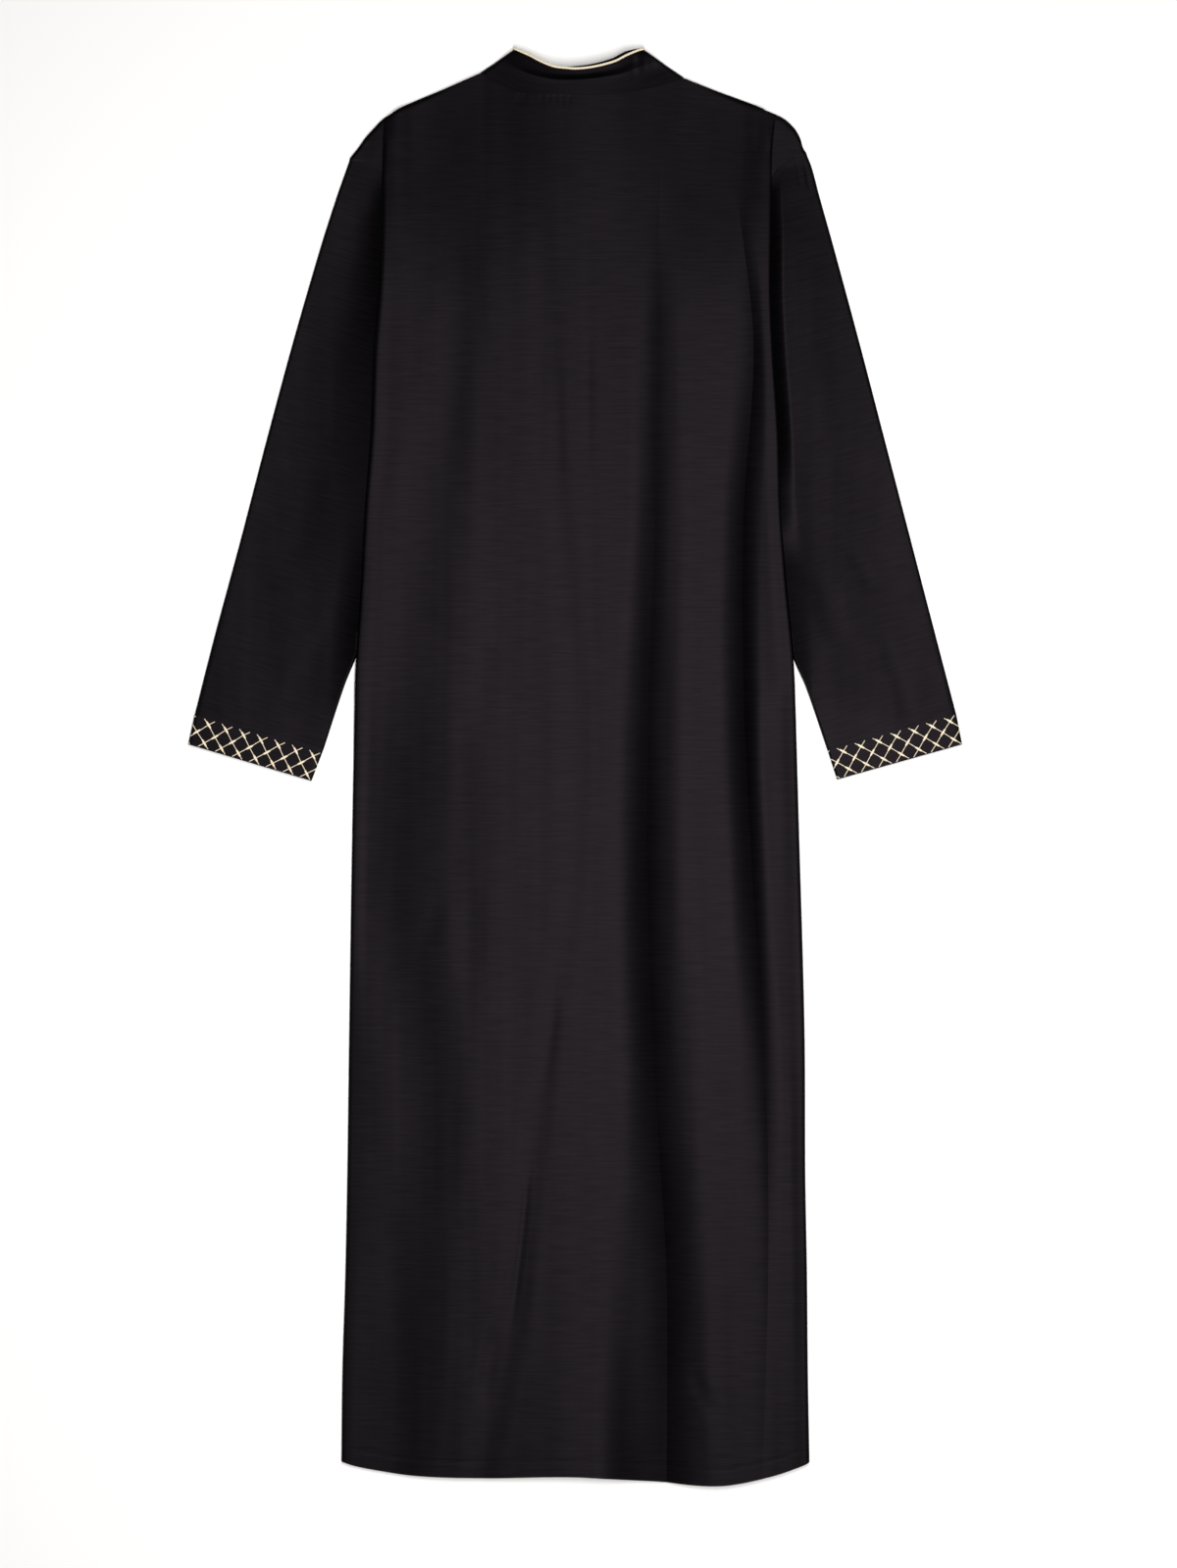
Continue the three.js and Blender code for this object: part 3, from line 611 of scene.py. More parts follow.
def neckline_at(x):
    """The back's neck seam."""
    return through(NECKLINE["x"], NECKLINE["y"], x)


def hem_at(x):
    """The hem's lower edge."""
    return through(HEM["x"], HEM["y"], np.clip(x, HEM["x"][0], HEM["x"][-1]))


def top_edge_at(x):
    """The back's upper edge: the shoulders' lines and the neck seam between them."""
    left = through(SHOULDER_LEFT["x"], SHOULDER_LEFT["y"], x)
    right = through(SHOULDER_RIGHT["x"], SHOULDER_RIGHT["y"], x)
    return np.where(x < NECK_LEFT, left, np.where(x > NECK_RIGHT, right, neckline_at(x)))


def body_y(x, edge_y, drop=0.0):
    """Where a row of the body lies: bent to the hem's curve and to the shoulders' line."""
    by_hem = 1 - smooth(BODY_LOW, BODY_LOW + BEND_REACH, edge_y)
    by_top = smooth(BODY_TOP - BEND_REACH, BODY_TOP, edge_y)
    return (
        edge_y + (hem_at(x) - BODY_LOW) * by_hem + (top_edge_at(x) - drop - BODY_TOP) * by_top
    )


def neck_arch(x):
    """A round arch over the neckline: 1 in its middle, 0 at the shoulders."""
    off = (x - (NECK_LEFT + NECK_RIGHT) / 2) / ((NECK_RIGHT - NECK_LEFT) / 2)
    return np.sqrt(np.maximum(0, 1 - off * off))


def neck_height(arch):
    """The height along the neck seam, shared by the back and the collar."""
    low = 2 * COLLAR_EDGE_RADIUS
    return low + (NECK_HEIGHT - low) * arch ** 3


def top_edge_height(x):
    """The height along the back's upper edge."""
    arch = neck_arch(x)
    by_neck = smooth(-70, 0, np.minimum(x - NECK_LEFT, NECK_RIGHT - x))
    shoulder = SHOULDER_HEIGHT + (neck_height(arch) - SHOULDER_HEIGHT) * by_neck
    corner = SIDE_LEVELS["left"][-1]
    near = np.minimum(x - side_at("left", 660), side_at("right", 660) - x)
    return shoulder + (corner - shoulder) * (1 - smooth(8, 34, near))


def fold_depth(x, y):
    """The depth of the long folds at each point."""
    at = np.clip(y, STATIONS[-1], STATIONS[0])
    start = 1 - smooth(STATIONS[0], STATIONS[0] + 50, y)
    total = np.zeros(np.broadcast(x, y).shape)
    for fold in FOLDS.values():
        middle = through(STATIONS, fold["x"], at)
        half = through(STATIONS, fold["half"], at)
        if "left" in fold:
            half = np.where(x < middle, through(STATIONS, fold["left"], at), half)
        off = (x - middle) / half
        section = valley(off, fold["wall"]) if "wall" in fold else bell(off)
        total += start * section * through(STATIONS, fold["depth"], at)
    return total


def back_height(x, y, edge_y):
    """The height of the back's upper face between its sides.

    It bends down towards the left side and eases level with the right one.
    """
    left, right = x - side_at("left", edge_y), side_at("right", edge_y) - x
    short = 1 - np.clip(left / easing(SIDE_LEVELS, "left_slope", edge_y), 0, 1)
    flat = PLATEAU + (easing(SIDE_LEVELS, "left", edge_y) - PLATEAU) * short ** 2
    level = 1 - smooth(0, easing(SIDE_LEVELS, "right_slope", edge_y), right)
    flat = flat + (easing(SIDE_LEVELS, "right", edge_y) - PLATEAU) * level
    near = np.minimum(left, right)
    depth = fold_depth(x, y) + creases(BACK_CREASES, x, y)
    folded = flat - depth * smooth(0, 16, near)
    below = np.maximum(top_edge_at(x) - y, 0)
    by_side = 1 - smooth(10, 70, near)
    share, turn, length = (
        inner + (outer - inner) * by_side
        for inner, outer in (TOP["share"], TOP["turn"], TOP["length"])
    )
    rise = np.clip(below / turn, 0, 1)
    share = share * (1 - smooth(-100, 0, np.minimum(x - NECK_LEFT, NECK_RIGHT - x)))
    roll = share * np.sqrt(1 - (1 - rise) ** 2) + (1 - share) * smooth(0, length, below)
    low = top_edge_height(x)
    return low + (folded - low) * roll


def back_details(x, y, sew):
    """Small relief over the folds: puckers under the neck seam, the hem's stitched line."""
    under_neck = neckline_at(np.clip(x, NECK_LEFT, NECK_RIGHT)) - y
    pucker = np.zeros(np.shape(x))
    for middle in NECK_PUCKERS["x"]:
        pucker += bell((x - middle) / NECK_PUCKERS["half"])
    run = smooth(0, 3, under_neck) * (1 - smooth(4, NECK_PUCKERS["reach"], under_neck))
    over_hem = y - hem_at(x)
    groove = bell((over_hem - sew.hem_depth) / HEM_GROOVE["half"])
    draw = 0.5 + 0.5 * ripple(x, y, (9, 60), 3.7)
    return -NECK_PUCKERS["depth"] * pucker * run - groove * draw * HEM_GROOVE["depth"]


def side_round(edge_y):
    """The turned-under sides: the height underneath, and how wide each side's turn is.

    The right one is pressed sharper.
    """
    under = float(easing(SIDE_LEVELS, "under", edge_y))
    left, right = (float(easing(SIDE_LEVELS, side, edge_y)) - under for side in SIDE)
    return under, (left / 2, right / 4)


def back_points(sew):
    """The back's outer face, from one turned-under side over the top to the other.

    Its last row is the allowance turned in at the neck seam.
    """
    over_hem, under_top = BODY_LOW + 28, 590
    rows = np.concatenate([
        np.linspace(BODY_LOW, over_hem, 15)[:-1],
        np.linspace(over_hem, under_top, 172)[:-1],
        np.linspace(under_top, BODY_TOP, 30),
    ])
    columns = np.linspace(0, 1, BACK_COLUMNS + 1)[1:-1]
    creased = [column / BACK_COLUMNS for column in CREASE_COLUMNS.values()]
    turns = np.linspace(-0.5, 0.5, TURN_COLUMNS + 2)[1:-1]
    swing, heave = np.cos(np.pi * turns), np.sin(np.pi * turns)
    lap = np.linspace(UNDERLAP, 0, LAP_COLUMNS)
    points = []
    for edge_y in rows:
        under, radii = side_round(edge_y)
        left = float(side_at("left", edge_y)) + radii[0]
        right = float(side_at("right", edge_y)) - radii[1]
        at = np.clip(edge_y, STATIONS[-1], STATIONS[0])
        bottoms = [float(through(STATIONS, FOLDS[name]["x"], at)) for name in CREASE_COLUMNS]
        middle = np.interp(columns, [0, *creased, 1], [left, *bottoms, right])
        x = np.concatenate([
            left + lap, left - radii[0] * swing, [left], middle, [right],
            (right + radii[1] * swing)[::-1], (right - lap)[::-1],
        ])
        y = body_y(np.clip(x, left - radii[0], right + radii[1]), edge_y)
        start = len(lap) + len(turns)
        on_top = slice(start, start + len(middle) + 2)
        top_level = back_height(x[on_top], y[on_top], edge_y)
        rounds = [under + (end - under) * (1 + heave) / 2 for end in top_level[[0, -1]]]
        level = np.concatenate([
            under + 0 * lap, rounds[0], top_level, rounds[1][::-1], under + 0 * lap,
        ])
        points.append(np.stack([x, y, level], axis=-1))
    points = np.array(points)
    body = points[:, on_top]
    x, y = body[..., 0], body[..., 1]
    near = np.minimum(x - x[:, :1], x[:, -1:] - x)
    calm = smooth(0, 14, near)
    body[..., 2] += calm * (waves(BACK_WAVES, x, y) + back_details(x, y, sew))
    allowance = points[-1:].copy()
    under_collar = (allowance[..., 0] > NECK_LEFT + 1) & (allowance[..., 0] < NECK_RIGHT - 1)
    allowance[..., 1] += np.where(under_collar, 1.2, 0.1)
    allowance[..., 2] -= np.where(under_collar, 1.0, 0.0)
    return np.concatenate([points, allowance])


def hem_route(points, depth):
    """A line over the back's own points, a given depth above the hem's edge."""
    line = []
    for column in points.transpose(1, 0, 2)[6:-6]:
        y = hem_at(column[0, 0]) + depth
        order = np.argsort(column[:, 1])
        at = [np.interp(y, column[order, 1], column[order, k]) for k in (0, 2)]
        line.append((at[0], y, at[1]))
    return np.array(line)


def cap_points(side, level, inset=0.0):
    """The shoulder outside the body's fold, from the shoulder's line to the armhole seam."""
    share = np.linspace(0, 1, 34)
    outline = along(CAPS[side]["outline"], share)
    armhole = along(SLEEVES[side]["armhole"], np.linspace(0.15, 0.0, 9))
    seam = along([*CAPS[side]["inside"], *armhole], share)
    blend = np.linspace(0, 1, 26)
    plan = outline[None] + (seam - outline)[None] * blend[:, None, None]
    plan[..., 0] -= SIDE[side] * inset
    to_edge = np.linalg.norm(seam - outline, axis=1)[None] * blend[:, None]
    to_seam = np.linalg.norm(seam - outline, axis=1)[None] * (1 - blend[:, None])
    z = level - 0.9 * (1 - smooth(0, 4, to_edge))
    z -= CAPS[side]["seam"] * (1 - smooth(0, 1.5, to_seam))
    z += waves(CAP_WAVES, plan[..., 0], plan[..., 1])
    points = np.concatenate([plan, z[..., None]], axis=-1)
    return points if side == "left" else points[::-1]


# ---------------------------------------------------------------- the front


def front_points():
    """The front, flat on the surface: its outer face is underneath."""
    shoulder_drop = 0.6
    rows = np.linspace(BODY_LOW + FRONT_HEM["rise"], BODY_TOP - shoulder_drop, 220)
    slit = [CENTRE - SLIT_WIDTH / 2, CENTRE + SLIT_WIDTH / 2]
    shares = np.linspace(0, 1, 40)
    points = []
    for edge_y in rows:
        left = float(side_at("left", edge_y)) + FRONT_INSET
        right = float(side_at("right", edge_y)) - FRONT_INSET
        x = np.concatenate([
            left + (slit[0] - left) * shares, slit[1] + (right - slit[1]) * shares,
        ])
        neck = (x > NECK_LEFT) & (x < NECK_RIGHT)
        drop = np.where(neck, FRONT_NECK_DROP * neck_arch(x) + SEAM, shoulder_drop)
        y = body_y(x, edge_y, drop - shoulder_drop)
        points.append(np.column_stack([x, y, np.full(len(x), FRONT_RAISE)]))
    return np.array(points)[:, ::-1]


# ---------------------------------------------------------------- sleeves


def sleeve_plan(side, across, down):
    """The sleeve's plan, between its outer and inner edges and from armhole to cuff."""
    shape = SLEEVES[side]
    cuff = [shape["outer"][-1], shape["inner"][-1]]
    outer, inner = along(shape["outer"], down), along(shape["inner"], down)
    top, low = along(shape["armhole"], across), along(cuff, across)
    a, d = across[..., None], down[..., None]
    corners = (
        (1 - a) * ((1 - d) * np.array(shape["outer"][0]) + d * np.array(cuff[0]))
        + a * ((1 - d) * np.array(shape["inner"][0]) + d * np.array(cuff[1]))
    )
    return (1 - a) * outer + a * inner + (1 - d) * top + d * low - corners


def outside_body(side, x, y):
    """The distance outward from the body's folded side."""
    return SIDE[side] * (x - side_at(side, y))


def sleeve_base(side, x, y):
    """A sleeve lies on the front where it is tucked in and on the surface outside."""
    return (CLOTH + LAYER) * (1 - smooth(-6, 2, outside_body(side, x, y)))


def sleeve_top(side, x, y):
    """The height of a sleeve's upper face, kept under the body's turned-under side."""
    out = outside_body(side, x, y)
    outer = np.array(SLEEVES[side]["outer"], float)
    reach = np.interp(-y, -outer[:, 1], outer[:, 0])
    width = np.maximum(outside_body(side, reach, y), 20)
    keys = ("inner", "outer", "fall", "dip", "wide")
    level = {key: easing(SLEEVE_LEVELS[side], key, y) for key in keys}
    share = np.clip(out / width, 0, 1)
    top = level["outer"] + (level["inner"] - level["outer"]) * (1 - share) ** level["fall"]
    wall = SLEEVE_LEVELS[side]["wall"]
    top = top - level["dip"] * valley(np.maximum(out, 0) / level["wide"], wall)
    from_seam = SLEEVES[side]["armhole"][0][1] - y + 0.35 * (out - 34)
    top = SEAM_HEIGHT + (top - SEAM_HEIGHT) * smooth(0, 34, from_seam)
    under = easing(SIDE_LEVELS, "under", y)
    radius = (easing(SIDE_LEVELS, side, y) - under) / 2
    inside = np.clip(radius + out, 0, radius)
    ceiling = under + radius - np.sqrt(radius * radius - inside * inside) - 0.7
    return np.where(out < 0, np.minimum(top, ceiling), top)


def flat_ring(plan, shares, base, height, radius):
    """A closed ring of two layers that lie on each other with folded edges.

    plan, base and height are functions of the share across; the last point repeats the first.
    """
    width = float(np.hypot(*(plan(np.array([1.0]))[0] - plan(np.array([0.0]))[0])))
    upper, lower = shares, shares[-2::-1]
    on_top, under = plan(upper), plan(lower)
    rise_top = rounded(np.minimum(upper, 1 - upper) * width, radius)
    rise_low = rounded(np.minimum(lower, 1 - lower) * width, radius)
    z_top = base(on_top) + radius + rise_top * (height(on_top) - radius)
    z_low = base(under) + radius * (1 - rise_low)
    return np.concatenate([
        np.column_stack([on_top, z_top]), np.column_stack([under, z_low]),
    ])


def ring_shares(width, radius, inner):
    """Shares across a flat ring, closer together at its rounded edges."""
    edge = np.array([0, 0.06, 0.18, 0.4, 0.7, 1]) * radius / width
    between = np.linspace(edge[-1], 1 - edge[-1], inner + 2)[1:-1]
    return np.concatenate([edge, between, 1 - edge[::-1]])


def creased_shares(side, down, shares):
    """The shares across a sleeve, stretched so that one column keeps to the body's fold."""
    place = sleeve_plan(side, shares, np.full(shares.shape, down))
    out = outside_body(side, place[:, 0], place[:, 1])
    first, last = shares[5], shares[-6]
    fold = np.interp(0.2, out[::-1], shares[::-1])
    fold = np.clip(fold, first + 0.1, last - 0.04)
    return np.where(
        (shares > first) & (shares < last),
        np.interp(shares, [first, shares[SLEEVE_CREASE], last], [first, fold, last]),
        shares,
    )


def sleeve_points(side):
    """A sleeve's outer face, from its armhole end to the cuff."""
    shares = ring_shares(150, EDGE_RADIUS, 62)
    downs = np.linspace(0, 1, 150)

    def height(place):
        """The thickness of the sleeve's two layers with their creases."""
        x, y = place[:, 0], place[:, 1]
        full = sleeve_top(side, x, y) - sleeve_base(side, x, y)
        calm = smooth(14, 40, outside_body(side, x, y))
        drift = waves(SLEEVE_WAVES[side], x, y)
        return full + calm * (drift - creases(SLEEVE_CREASES[side], x, y))

    rows = [
        flat_ring(
            lambda s, d=d: sleeve_plan(side, s, np.full(s.shape, d)),
            creased_shares(side, d, shares),
            lambda place: sleeve_base(side, place[:, 0], place[:, 1]),
            height,
            EDGE_RADIUS,
        )
        for d in downs
    ]
    return np.array(rows)


# ---------------------------------------------------------------- cuffs


def cuff_plan(side, across, down):
    """The cuff's plan, from the sleeve's end to the free edge."""
    shape = SLEEVES[side]
    start = np.array([shape["outer"][-1], shape["inner"][-1]], float)
    end = np.array(shape["end"], float)
    a, d = across[..., None], down[..., None]
    from_sleeve = start[0] + (start[1] - start[0]) * a
    at_edge = end[0] + (end[1] - end[0]) * a
    return from_sleeve * (1 - d) + at_edge * d


def cuff_points(side, steps=14):
    """A cuff's outer face, from the sleeve to the free edge."""
    shape = SLEEVES[side]
    length = math.dist(shape["outer"][-1], shape["end"][0])
    rows = [
        flat_ring(
            lambda s, d=d: cuff_plan(side, s, np.full(s.shape, d)),
            ring_shares(131, EDGE_RADIUS, 52),
            lambda place: np.full(len(place), THREAD_RAISE),
            lambda place: np.full(len(place), CUFF_HEIGHT - THREAD_RAISE),
            EDGE_RADIUS,
        )
        for d in np.linspace(0.05 / length, 1, steps)
    ]
    return np.array(rows)


def cuff_at(side, around, rise):
    """Points of the cuff's outer face.

    around runs from 0 at the outer fold over the top to 1 at the inner fold, and on
    underneath to 2; rise is the distance from the free edge.
    """
    shape = SLEEVES[side]
    around = np.mod(around, 2)
    across = np.where(around <= 1, around, 2 - around)
    lengths = [math.dist(shape["outer"][-1], shape["end"][0]),
               math.dist(shape["inner"][-1], shape["end"][1])]
    length = lengths[0] + (lengths[1] - lengths[0]) * across
    plan = cuff_plan(side, across, 1 - rise / length)
    width = math.dist(*shape["end"])
    r = EDGE_RADIUS
    lift = rounded(np.minimum(across, 1 - across) * width, r)
    height = CUFF_HEIGHT - THREAD_RAISE
    level = np.where(around <= 1, r + lift * (height - r), r * (1 - lift))
    return np.column_stack([plan, THREAD_RAISE + level])


def cuff_up(side, around, rise):
    """The cuff's outward direction at its points."""
    step = 0.004
    half_way = np.array([16.0])
    middle = np.concatenate([
        cuff_at(side, np.zeros(1), half_way), cuff_at(side, np.ones(1), half_way),
    ]).mean(axis=0)
    turn = cuff_at(side, around + step, rise) - cuff_at(side, around - step, rise)
    down = cuff_at(side, around, rise - 0.5) - cuff_at(side, around, rise + 0.5)
    up = unit(np.cross(turn, down))
    out = cuff_at(side, around, rise) - middle
    # The band is flat, so up and down count for more than sideways.
    out[:, 2] *= 40
    return up * np.sign(np.sum(up * out, axis=1))[:, None]


def cuff_route(side, corners, step=0.55):
    """A route over the cuff through corners of share round and distance from the free edge."""
    corners = np.asarray(corners, float)
    width = math.dist(*SLEEVES[side]["end"])
    legs = np.hypot(np.diff(corners[:, 0]) * width, np.diff(corners[:, 1]))
    run = np.concatenate([[0], np.cumsum(legs)])
    at = np.linspace(0, run[-1], int(run[-1] / step) + 2)
    around, rise = (np.interp(at, run, corners[:, k]) for k in (0, 1))
    return cuff_at(side, around, rise), cuff_up(side, around, rise)


def embroidery(side):
    """The lattice of twisted threads round a cuff, with a spindle of satin stitches over
    each crossing: along the falling threads in the outer rows and the rising in the middle.
    """
    plan = LATTICE[side]
    width = math.dist(*SLEEVES[side]["end"])
    length = math.dist(SLEEVES[side]["outer"][-1], SLEEVES[side]["end"][0])
    high, middle, low = plan["rows"]

    def crossing(k):
        """The share round the band of crossing k."""
        upper = np.minimum(k, UPPER_CROSSINGS)
        return plan["first"] + plan["upper"] * upper + plan["under"] * (k - upper)

    grids = []
    for k in range(CROSSINGS):
        for lean in (1, -1):
            top = min(high + STUB_TOP, length - 0.6)
            half, whole = k + 0.5 * lean, k + lean
            start = crossing(k) - lean * (top - high) * 1.1 / width
            end = crossing(whole) + lean * (low - STUB_LOW) * 1.05 / width
            corners = [(start, top), (crossing(k), high), (crossing(half), middle),
                       (crossing(whole), low), (end, STUB_LOW)]
            route, up = cuff_route(side, corners)
            route = route + up * THREAD["lift"]
            grids.append(thread(
                route, up, THREAD["width"], THREAD["height"], 6, THREAD["lobes"],
                THREAD["turn"], THREAD["taper"],
            ))
        for shift, row, lean in ((0, high, 1), (0.5, middle, -1), (0, low, 1)):
            lean *= SIDE[side] * -1
            centre = crossing(k + shift)
            reach = SPINDLE["length"] / 2 * SPINDLE["slant"]
            corners = [(centre - lean * reach / width, row + reach),
                       (centre + lean * reach / width, row - reach)]
            route, up = cuff_route(side, corners)
            route = route + up * SPINDLE["lift"]
            grids.append(thread(
                route, up, SPINDLE["width"], SPINDLE["height"], 10, SPINDLE["lobes"],
                SPINDLE["turn"], SPINDLE["length"] * SPINDLE["taper"],
            ))
    return grids


# ---------------------------------------------------------------- collar and cord


def front_neckline_at(x):
    """The front's neckline, a little lower than the back's."""
    return neckline_at(x) - FRONT_NECK_DROP * neck_arch(x)


def collar_points(shares, ups):
    """The collar's outer face: from the slit underneath, over the top and back to the slit."""
    share, up = np.meshgrid(shares, ups)
    left = NECK_LEFT + (COLLAR_TOP["x"][0] - NECK_LEFT) * up
    width = NECK_RIGHT + (COLLAR_TOP["x"][-1] - NECK_RIGHT) * up - left
    slit = COLLAR_SLIT / 2 / width
    middle = (CENTRE - left) / width
    on_top = (share > 0.25) & (share < 0.75)
    s = np.where(
        on_top,
        (share - 0.25) * 2,
        np.where(
            share <= 0.25,
            (middle - slit) * (1 - share * 4),
            1 - (1 - middle - slit) * (share - 0.75) * 4,
        ),
    )
    neck_x = NECK_LEFT + (NECK_RIGHT - NECK_LEFT) * s
    top_x = COLLAR_TOP["x"][0] + (COLLAR_TOP["x"][-1] - COLLAR_TOP["x"][0]) * s
    seam = np.where(on_top, 0.1, SEAM * (3 - neck_arch(neck_x)))
    neck_y = np.where(on_top, neckline_at(neck_x), front_neckline_at(neck_x)) + seam
    top_y = through(COLLAR_TOP["x"], COLLAR_TOP["y"], top_x)
    from_end = np.minimum(s, 1 - s) * width
    r = COLLAR_EDGE_RADIUS
    lift = rounded(from_end, r)
    arch = np.sqrt(np.maximum(0, 1 - (2 * s - 1) ** 2)) ** (3 - 1.4 * smooth(0, 1, up))
    stand = np.maximum(up - COLLAR_CREASE, 0) / (1 - COLLAR_CREASE)
    climb = np.interp(stand, [0, 0.32, 1], [0, 0.55, 1])
    crest = NECK_HEIGHT + (COLLAR_HEIGHT_BACK - NECK_HEIGHT) * climb
    under = COLLAR_FRONT_LIFT * smooth(0.35, 0.85, up)
    rise = np.where(on_top, r + (crest - under - 2 * r) * arch, -r)
    x = neck_x + (top_x - neck_x) * up
    y = neck_y + (top_y - neck_y) * up
    relief = np.zeros(x.shape)
    upright = smooth(0.3, 0.6, up) * (1 - smooth(0.85, 1, up))
    for place, height in COLLAR_WRINKLES:
        relief += height * bell((x - place) / WRINKLE_HALF) * upright
    relief = relief * on_top * smooth(0, 4, from_end)
    return np.stack([x, y, under + r + lift * rise + relief], axis=-1)


def cord_route():
    """The cord's centre line along the collar's edge, and its outward direction."""
    shares = np.concatenate([
        np.linspace(0.004, 0.24, 60)[:-1], np.linspace(0.24, 0.26, 40)[:-1],
        np.linspace(0.26, 0.74, 300)[:-1], np.linspace(0.74, 0.76, 40)[:-1],
        np.linspace(0.76, 0.996, 60),
    ])
    ups = through(CORD_PLACE["round"], CORD_PLACE["up"], shares)

    def spot(share, up):
        """The collar's points at pairs of share round and share of its height."""
        return np.array([
            collar_points(np.array([a]), np.array([b]))[0, 0] for a, b in zip(share, up)
        ])

    step = 0.0008
    turn = spot(np.minimum(shares + step, 1), ups) - spot(np.maximum(shares - step, 0), ups)
    up = unit(np.cross(turn, spot(shares, ups * 0 + 1) - spot(shares, ups - 0.08)))
    route = spot(shares, ups) + up * CORD["lift"]
    run = run_along(route)
    at = np.arange(0, run[-1], 0.45)
    return at_runs(at, run, route), at_runs(at, run, up)


def collar_shares(inner):
    """Shares round the collar, closer together at its two folded ends."""
    edge = np.array([0.0012, 0.0035, 0.007, 0.012])
    return np.concatenate([
        np.linspace(0, 0.225, 22), 0.25 - edge[::-1], [0.25], 0.25 + edge,
        np.linspace(0.275, 0.725, inner),
        0.75 - edge[::-1], [0.75], 0.75 + edge, np.linspace(0.775, 1, 22),
    ])


# ---------------------------------------------------------------- materials


def linear(code, alpha=1.0):
    """An sRGB hex code as linear red, green, blue and alpha."""
    parts = [int(code[k:k + 2], 16) / 255 for k in (1, 3, 5)]
    bent = [c / 12.92 if c <= 0.04045 else ((c + 0.055) / 1.055) ** 2.4 for c in parts]
    return (*bent, alpha)


def add(tree, kind, settings=(), **links):
    """Adds a node. settings are its own values or, by name, its sockets'; links are sockets."""
    node = tree.nodes.new(kind)
    for key, value in dict(settings).items():
        if key in node.inputs:
            node.inputs[key].default_value = value
        else:
            setattr(node, key, value)
    for key, source in links.items():
        tree.links.new(source, node.inputs[key.replace("_", " ")])
    return node


def material(name):
    """A new material and its empty node tree."""
    made = bpy.data.materials.new(name)
    made.use_nodes = True
    made.node_tree.nodes.clear()
    return made, made.node_tree


def woven_suiting(name, colour, slub, roughness):
    """Polyester and viscose suiting, piece dyed black, plain woven with a slubby weft.

    The slubs run across the cloth and catch a little light, so the black looks faintly
    barred; the fibre gives a dull sheen.
    """
    made, tree = material(name)
    cloth = add(tree, "ShaderNodeUVMap", {"uv_map": "UVMap"})
    # Slubs: thick places 20 to 60 mm long, in a weft drawn at every second thread or so.
    bars = add(tree, "ShaderNodeMapping", {"Scale": (30, 420, 1)}, Vector=cloth.outputs["UV"])
    slubs = add(tree, "ShaderNodeTexNoise", {"Scale": 1, "Detail": 2}, Vector=bars.outputs[0])
    # Weave: threads drawn at 1.2 mm, twice their real spacing, so that they show.
    grain = add(tree, "ShaderNodeMapping", {"Scale": (850, 850, 1)}, Vector=cloth.outputs["UV"])
    weave = add(tree, "ShaderNodeTexNoise", {"Scale": 1, "Detail": 1}, Vector=grain.outputs[0])
    patch = add(tree, "ShaderNodeTexNoise", {"Scale": 14, "Detail": 3}, Vector=cloth.outputs["UV"])
    relief = add(tree, "ShaderNodeMath", {"operation": "ADD"})
    tree.links.new(slubs.outputs["Fac"], relief.inputs[0])
    tree.links.new(weave.outputs["Fac"], relief.inputs[1])
    tone = add(tree, "ShaderNodeMath", {"operation": "MULTIPLY"})
    tree.links.new(slubs.outputs["Fac"], tone.inputs[0])
    tree.links.new(patch.outputs["Fac"], tone.inputs[1])
    ramp = add(tree, "ShaderNodeValToRGB", Fac=tone.outputs[0])
    ramp.color_ramp.elements[0].position = 0.12
    ramp.color_ramp.elements[0].color = linear(colour)
    ramp.color_ramp.elements[1].position = 0.42
    ramp.color_ramp.elements[1].color = linear(slub)
    shine = add(tree, "ShaderNodeMapRange", {"To Min": 0.040, "To Max": 0.0675})
    tree.links.new(slubs.outputs["Fac"], shine.inputs["Value"])
    bump = add(
        tree, "ShaderNodeBump", {"Strength": 0.16, "Distance": 0.0003},
        Height=relief.outputs[0],
    )
    shader = add(
        tree, "ShaderNodeBsdfPrincipled",
        {"Roughness": roughness, "Specular Tint": (1.0, 0.82, 0.98, 1.0)},
        Base_Color=ramp.outputs[0], Normal=bump.outputs[0],
    )
    tree.links.new(shine.outputs[0], shader.inputs["Specular IOR Level"])
    add(tree, "ShaderNodeOutputMaterial", Surface=shader.outputs[0])
    return made


def gold_thread(name, colour, shade):
    """Pale gold rayon thread, twisted: satin, with darker patches painted in at random as the
    shade between the plies.
    """
    made, tree = material(name)
    place = add(tree, "ShaderNodeTexCoord")
    twist = add(tree, "ShaderNodeTexNoise", {"Scale": 1400, "Detail": 1},
                Vector=place.outputs["Object"])
    # Painted shade: the ramp darkens the gold at random towards a darker gold that stands for the
    # shade between the plies.
    ramp = add(tree, "ShaderNodeValToRGB", Fac=twist.outputs["Fac"])
    ramp.color_ramp.elements[0].position = 0.3
    ramp.color_ramp.elements[0].color = linear(shade)
    ramp.color_ramp.elements[1].position = 0.6
    ramp.color_ramp.elements[1].color = linear(colour)
    bump = add(tree, "ShaderNodeBump", {"Strength": 0.4, "Distance": 0.0002},
               Height=twist.outputs["Fac"])
    shader = add(
        tree, "ShaderNodeBsdfPrincipled",
        {"Roughness": 0.42, "Sheen Weight": 0.25},
        Base_Color=ramp.outputs[0], Normal=bump.outputs[0],
    )
    add(tree, "ShaderNodeOutputMaterial", Surface=shader.outputs[0])
    return made


def sewing_thread(name, colour):
    """Black spun polyester thread, a little shinier than the cloth it is sewn in."""
    made, tree = material(name)
    shader = add(tree, "ShaderNodeBsdfPrincipled",
                 {"Base Color": linear(colour), "Roughness": 0.5, "Specular IOR Level": 0.15})
    add(tree, "ShaderNodeOutputMaterial", Surface=shader.outputs[0])
    return made


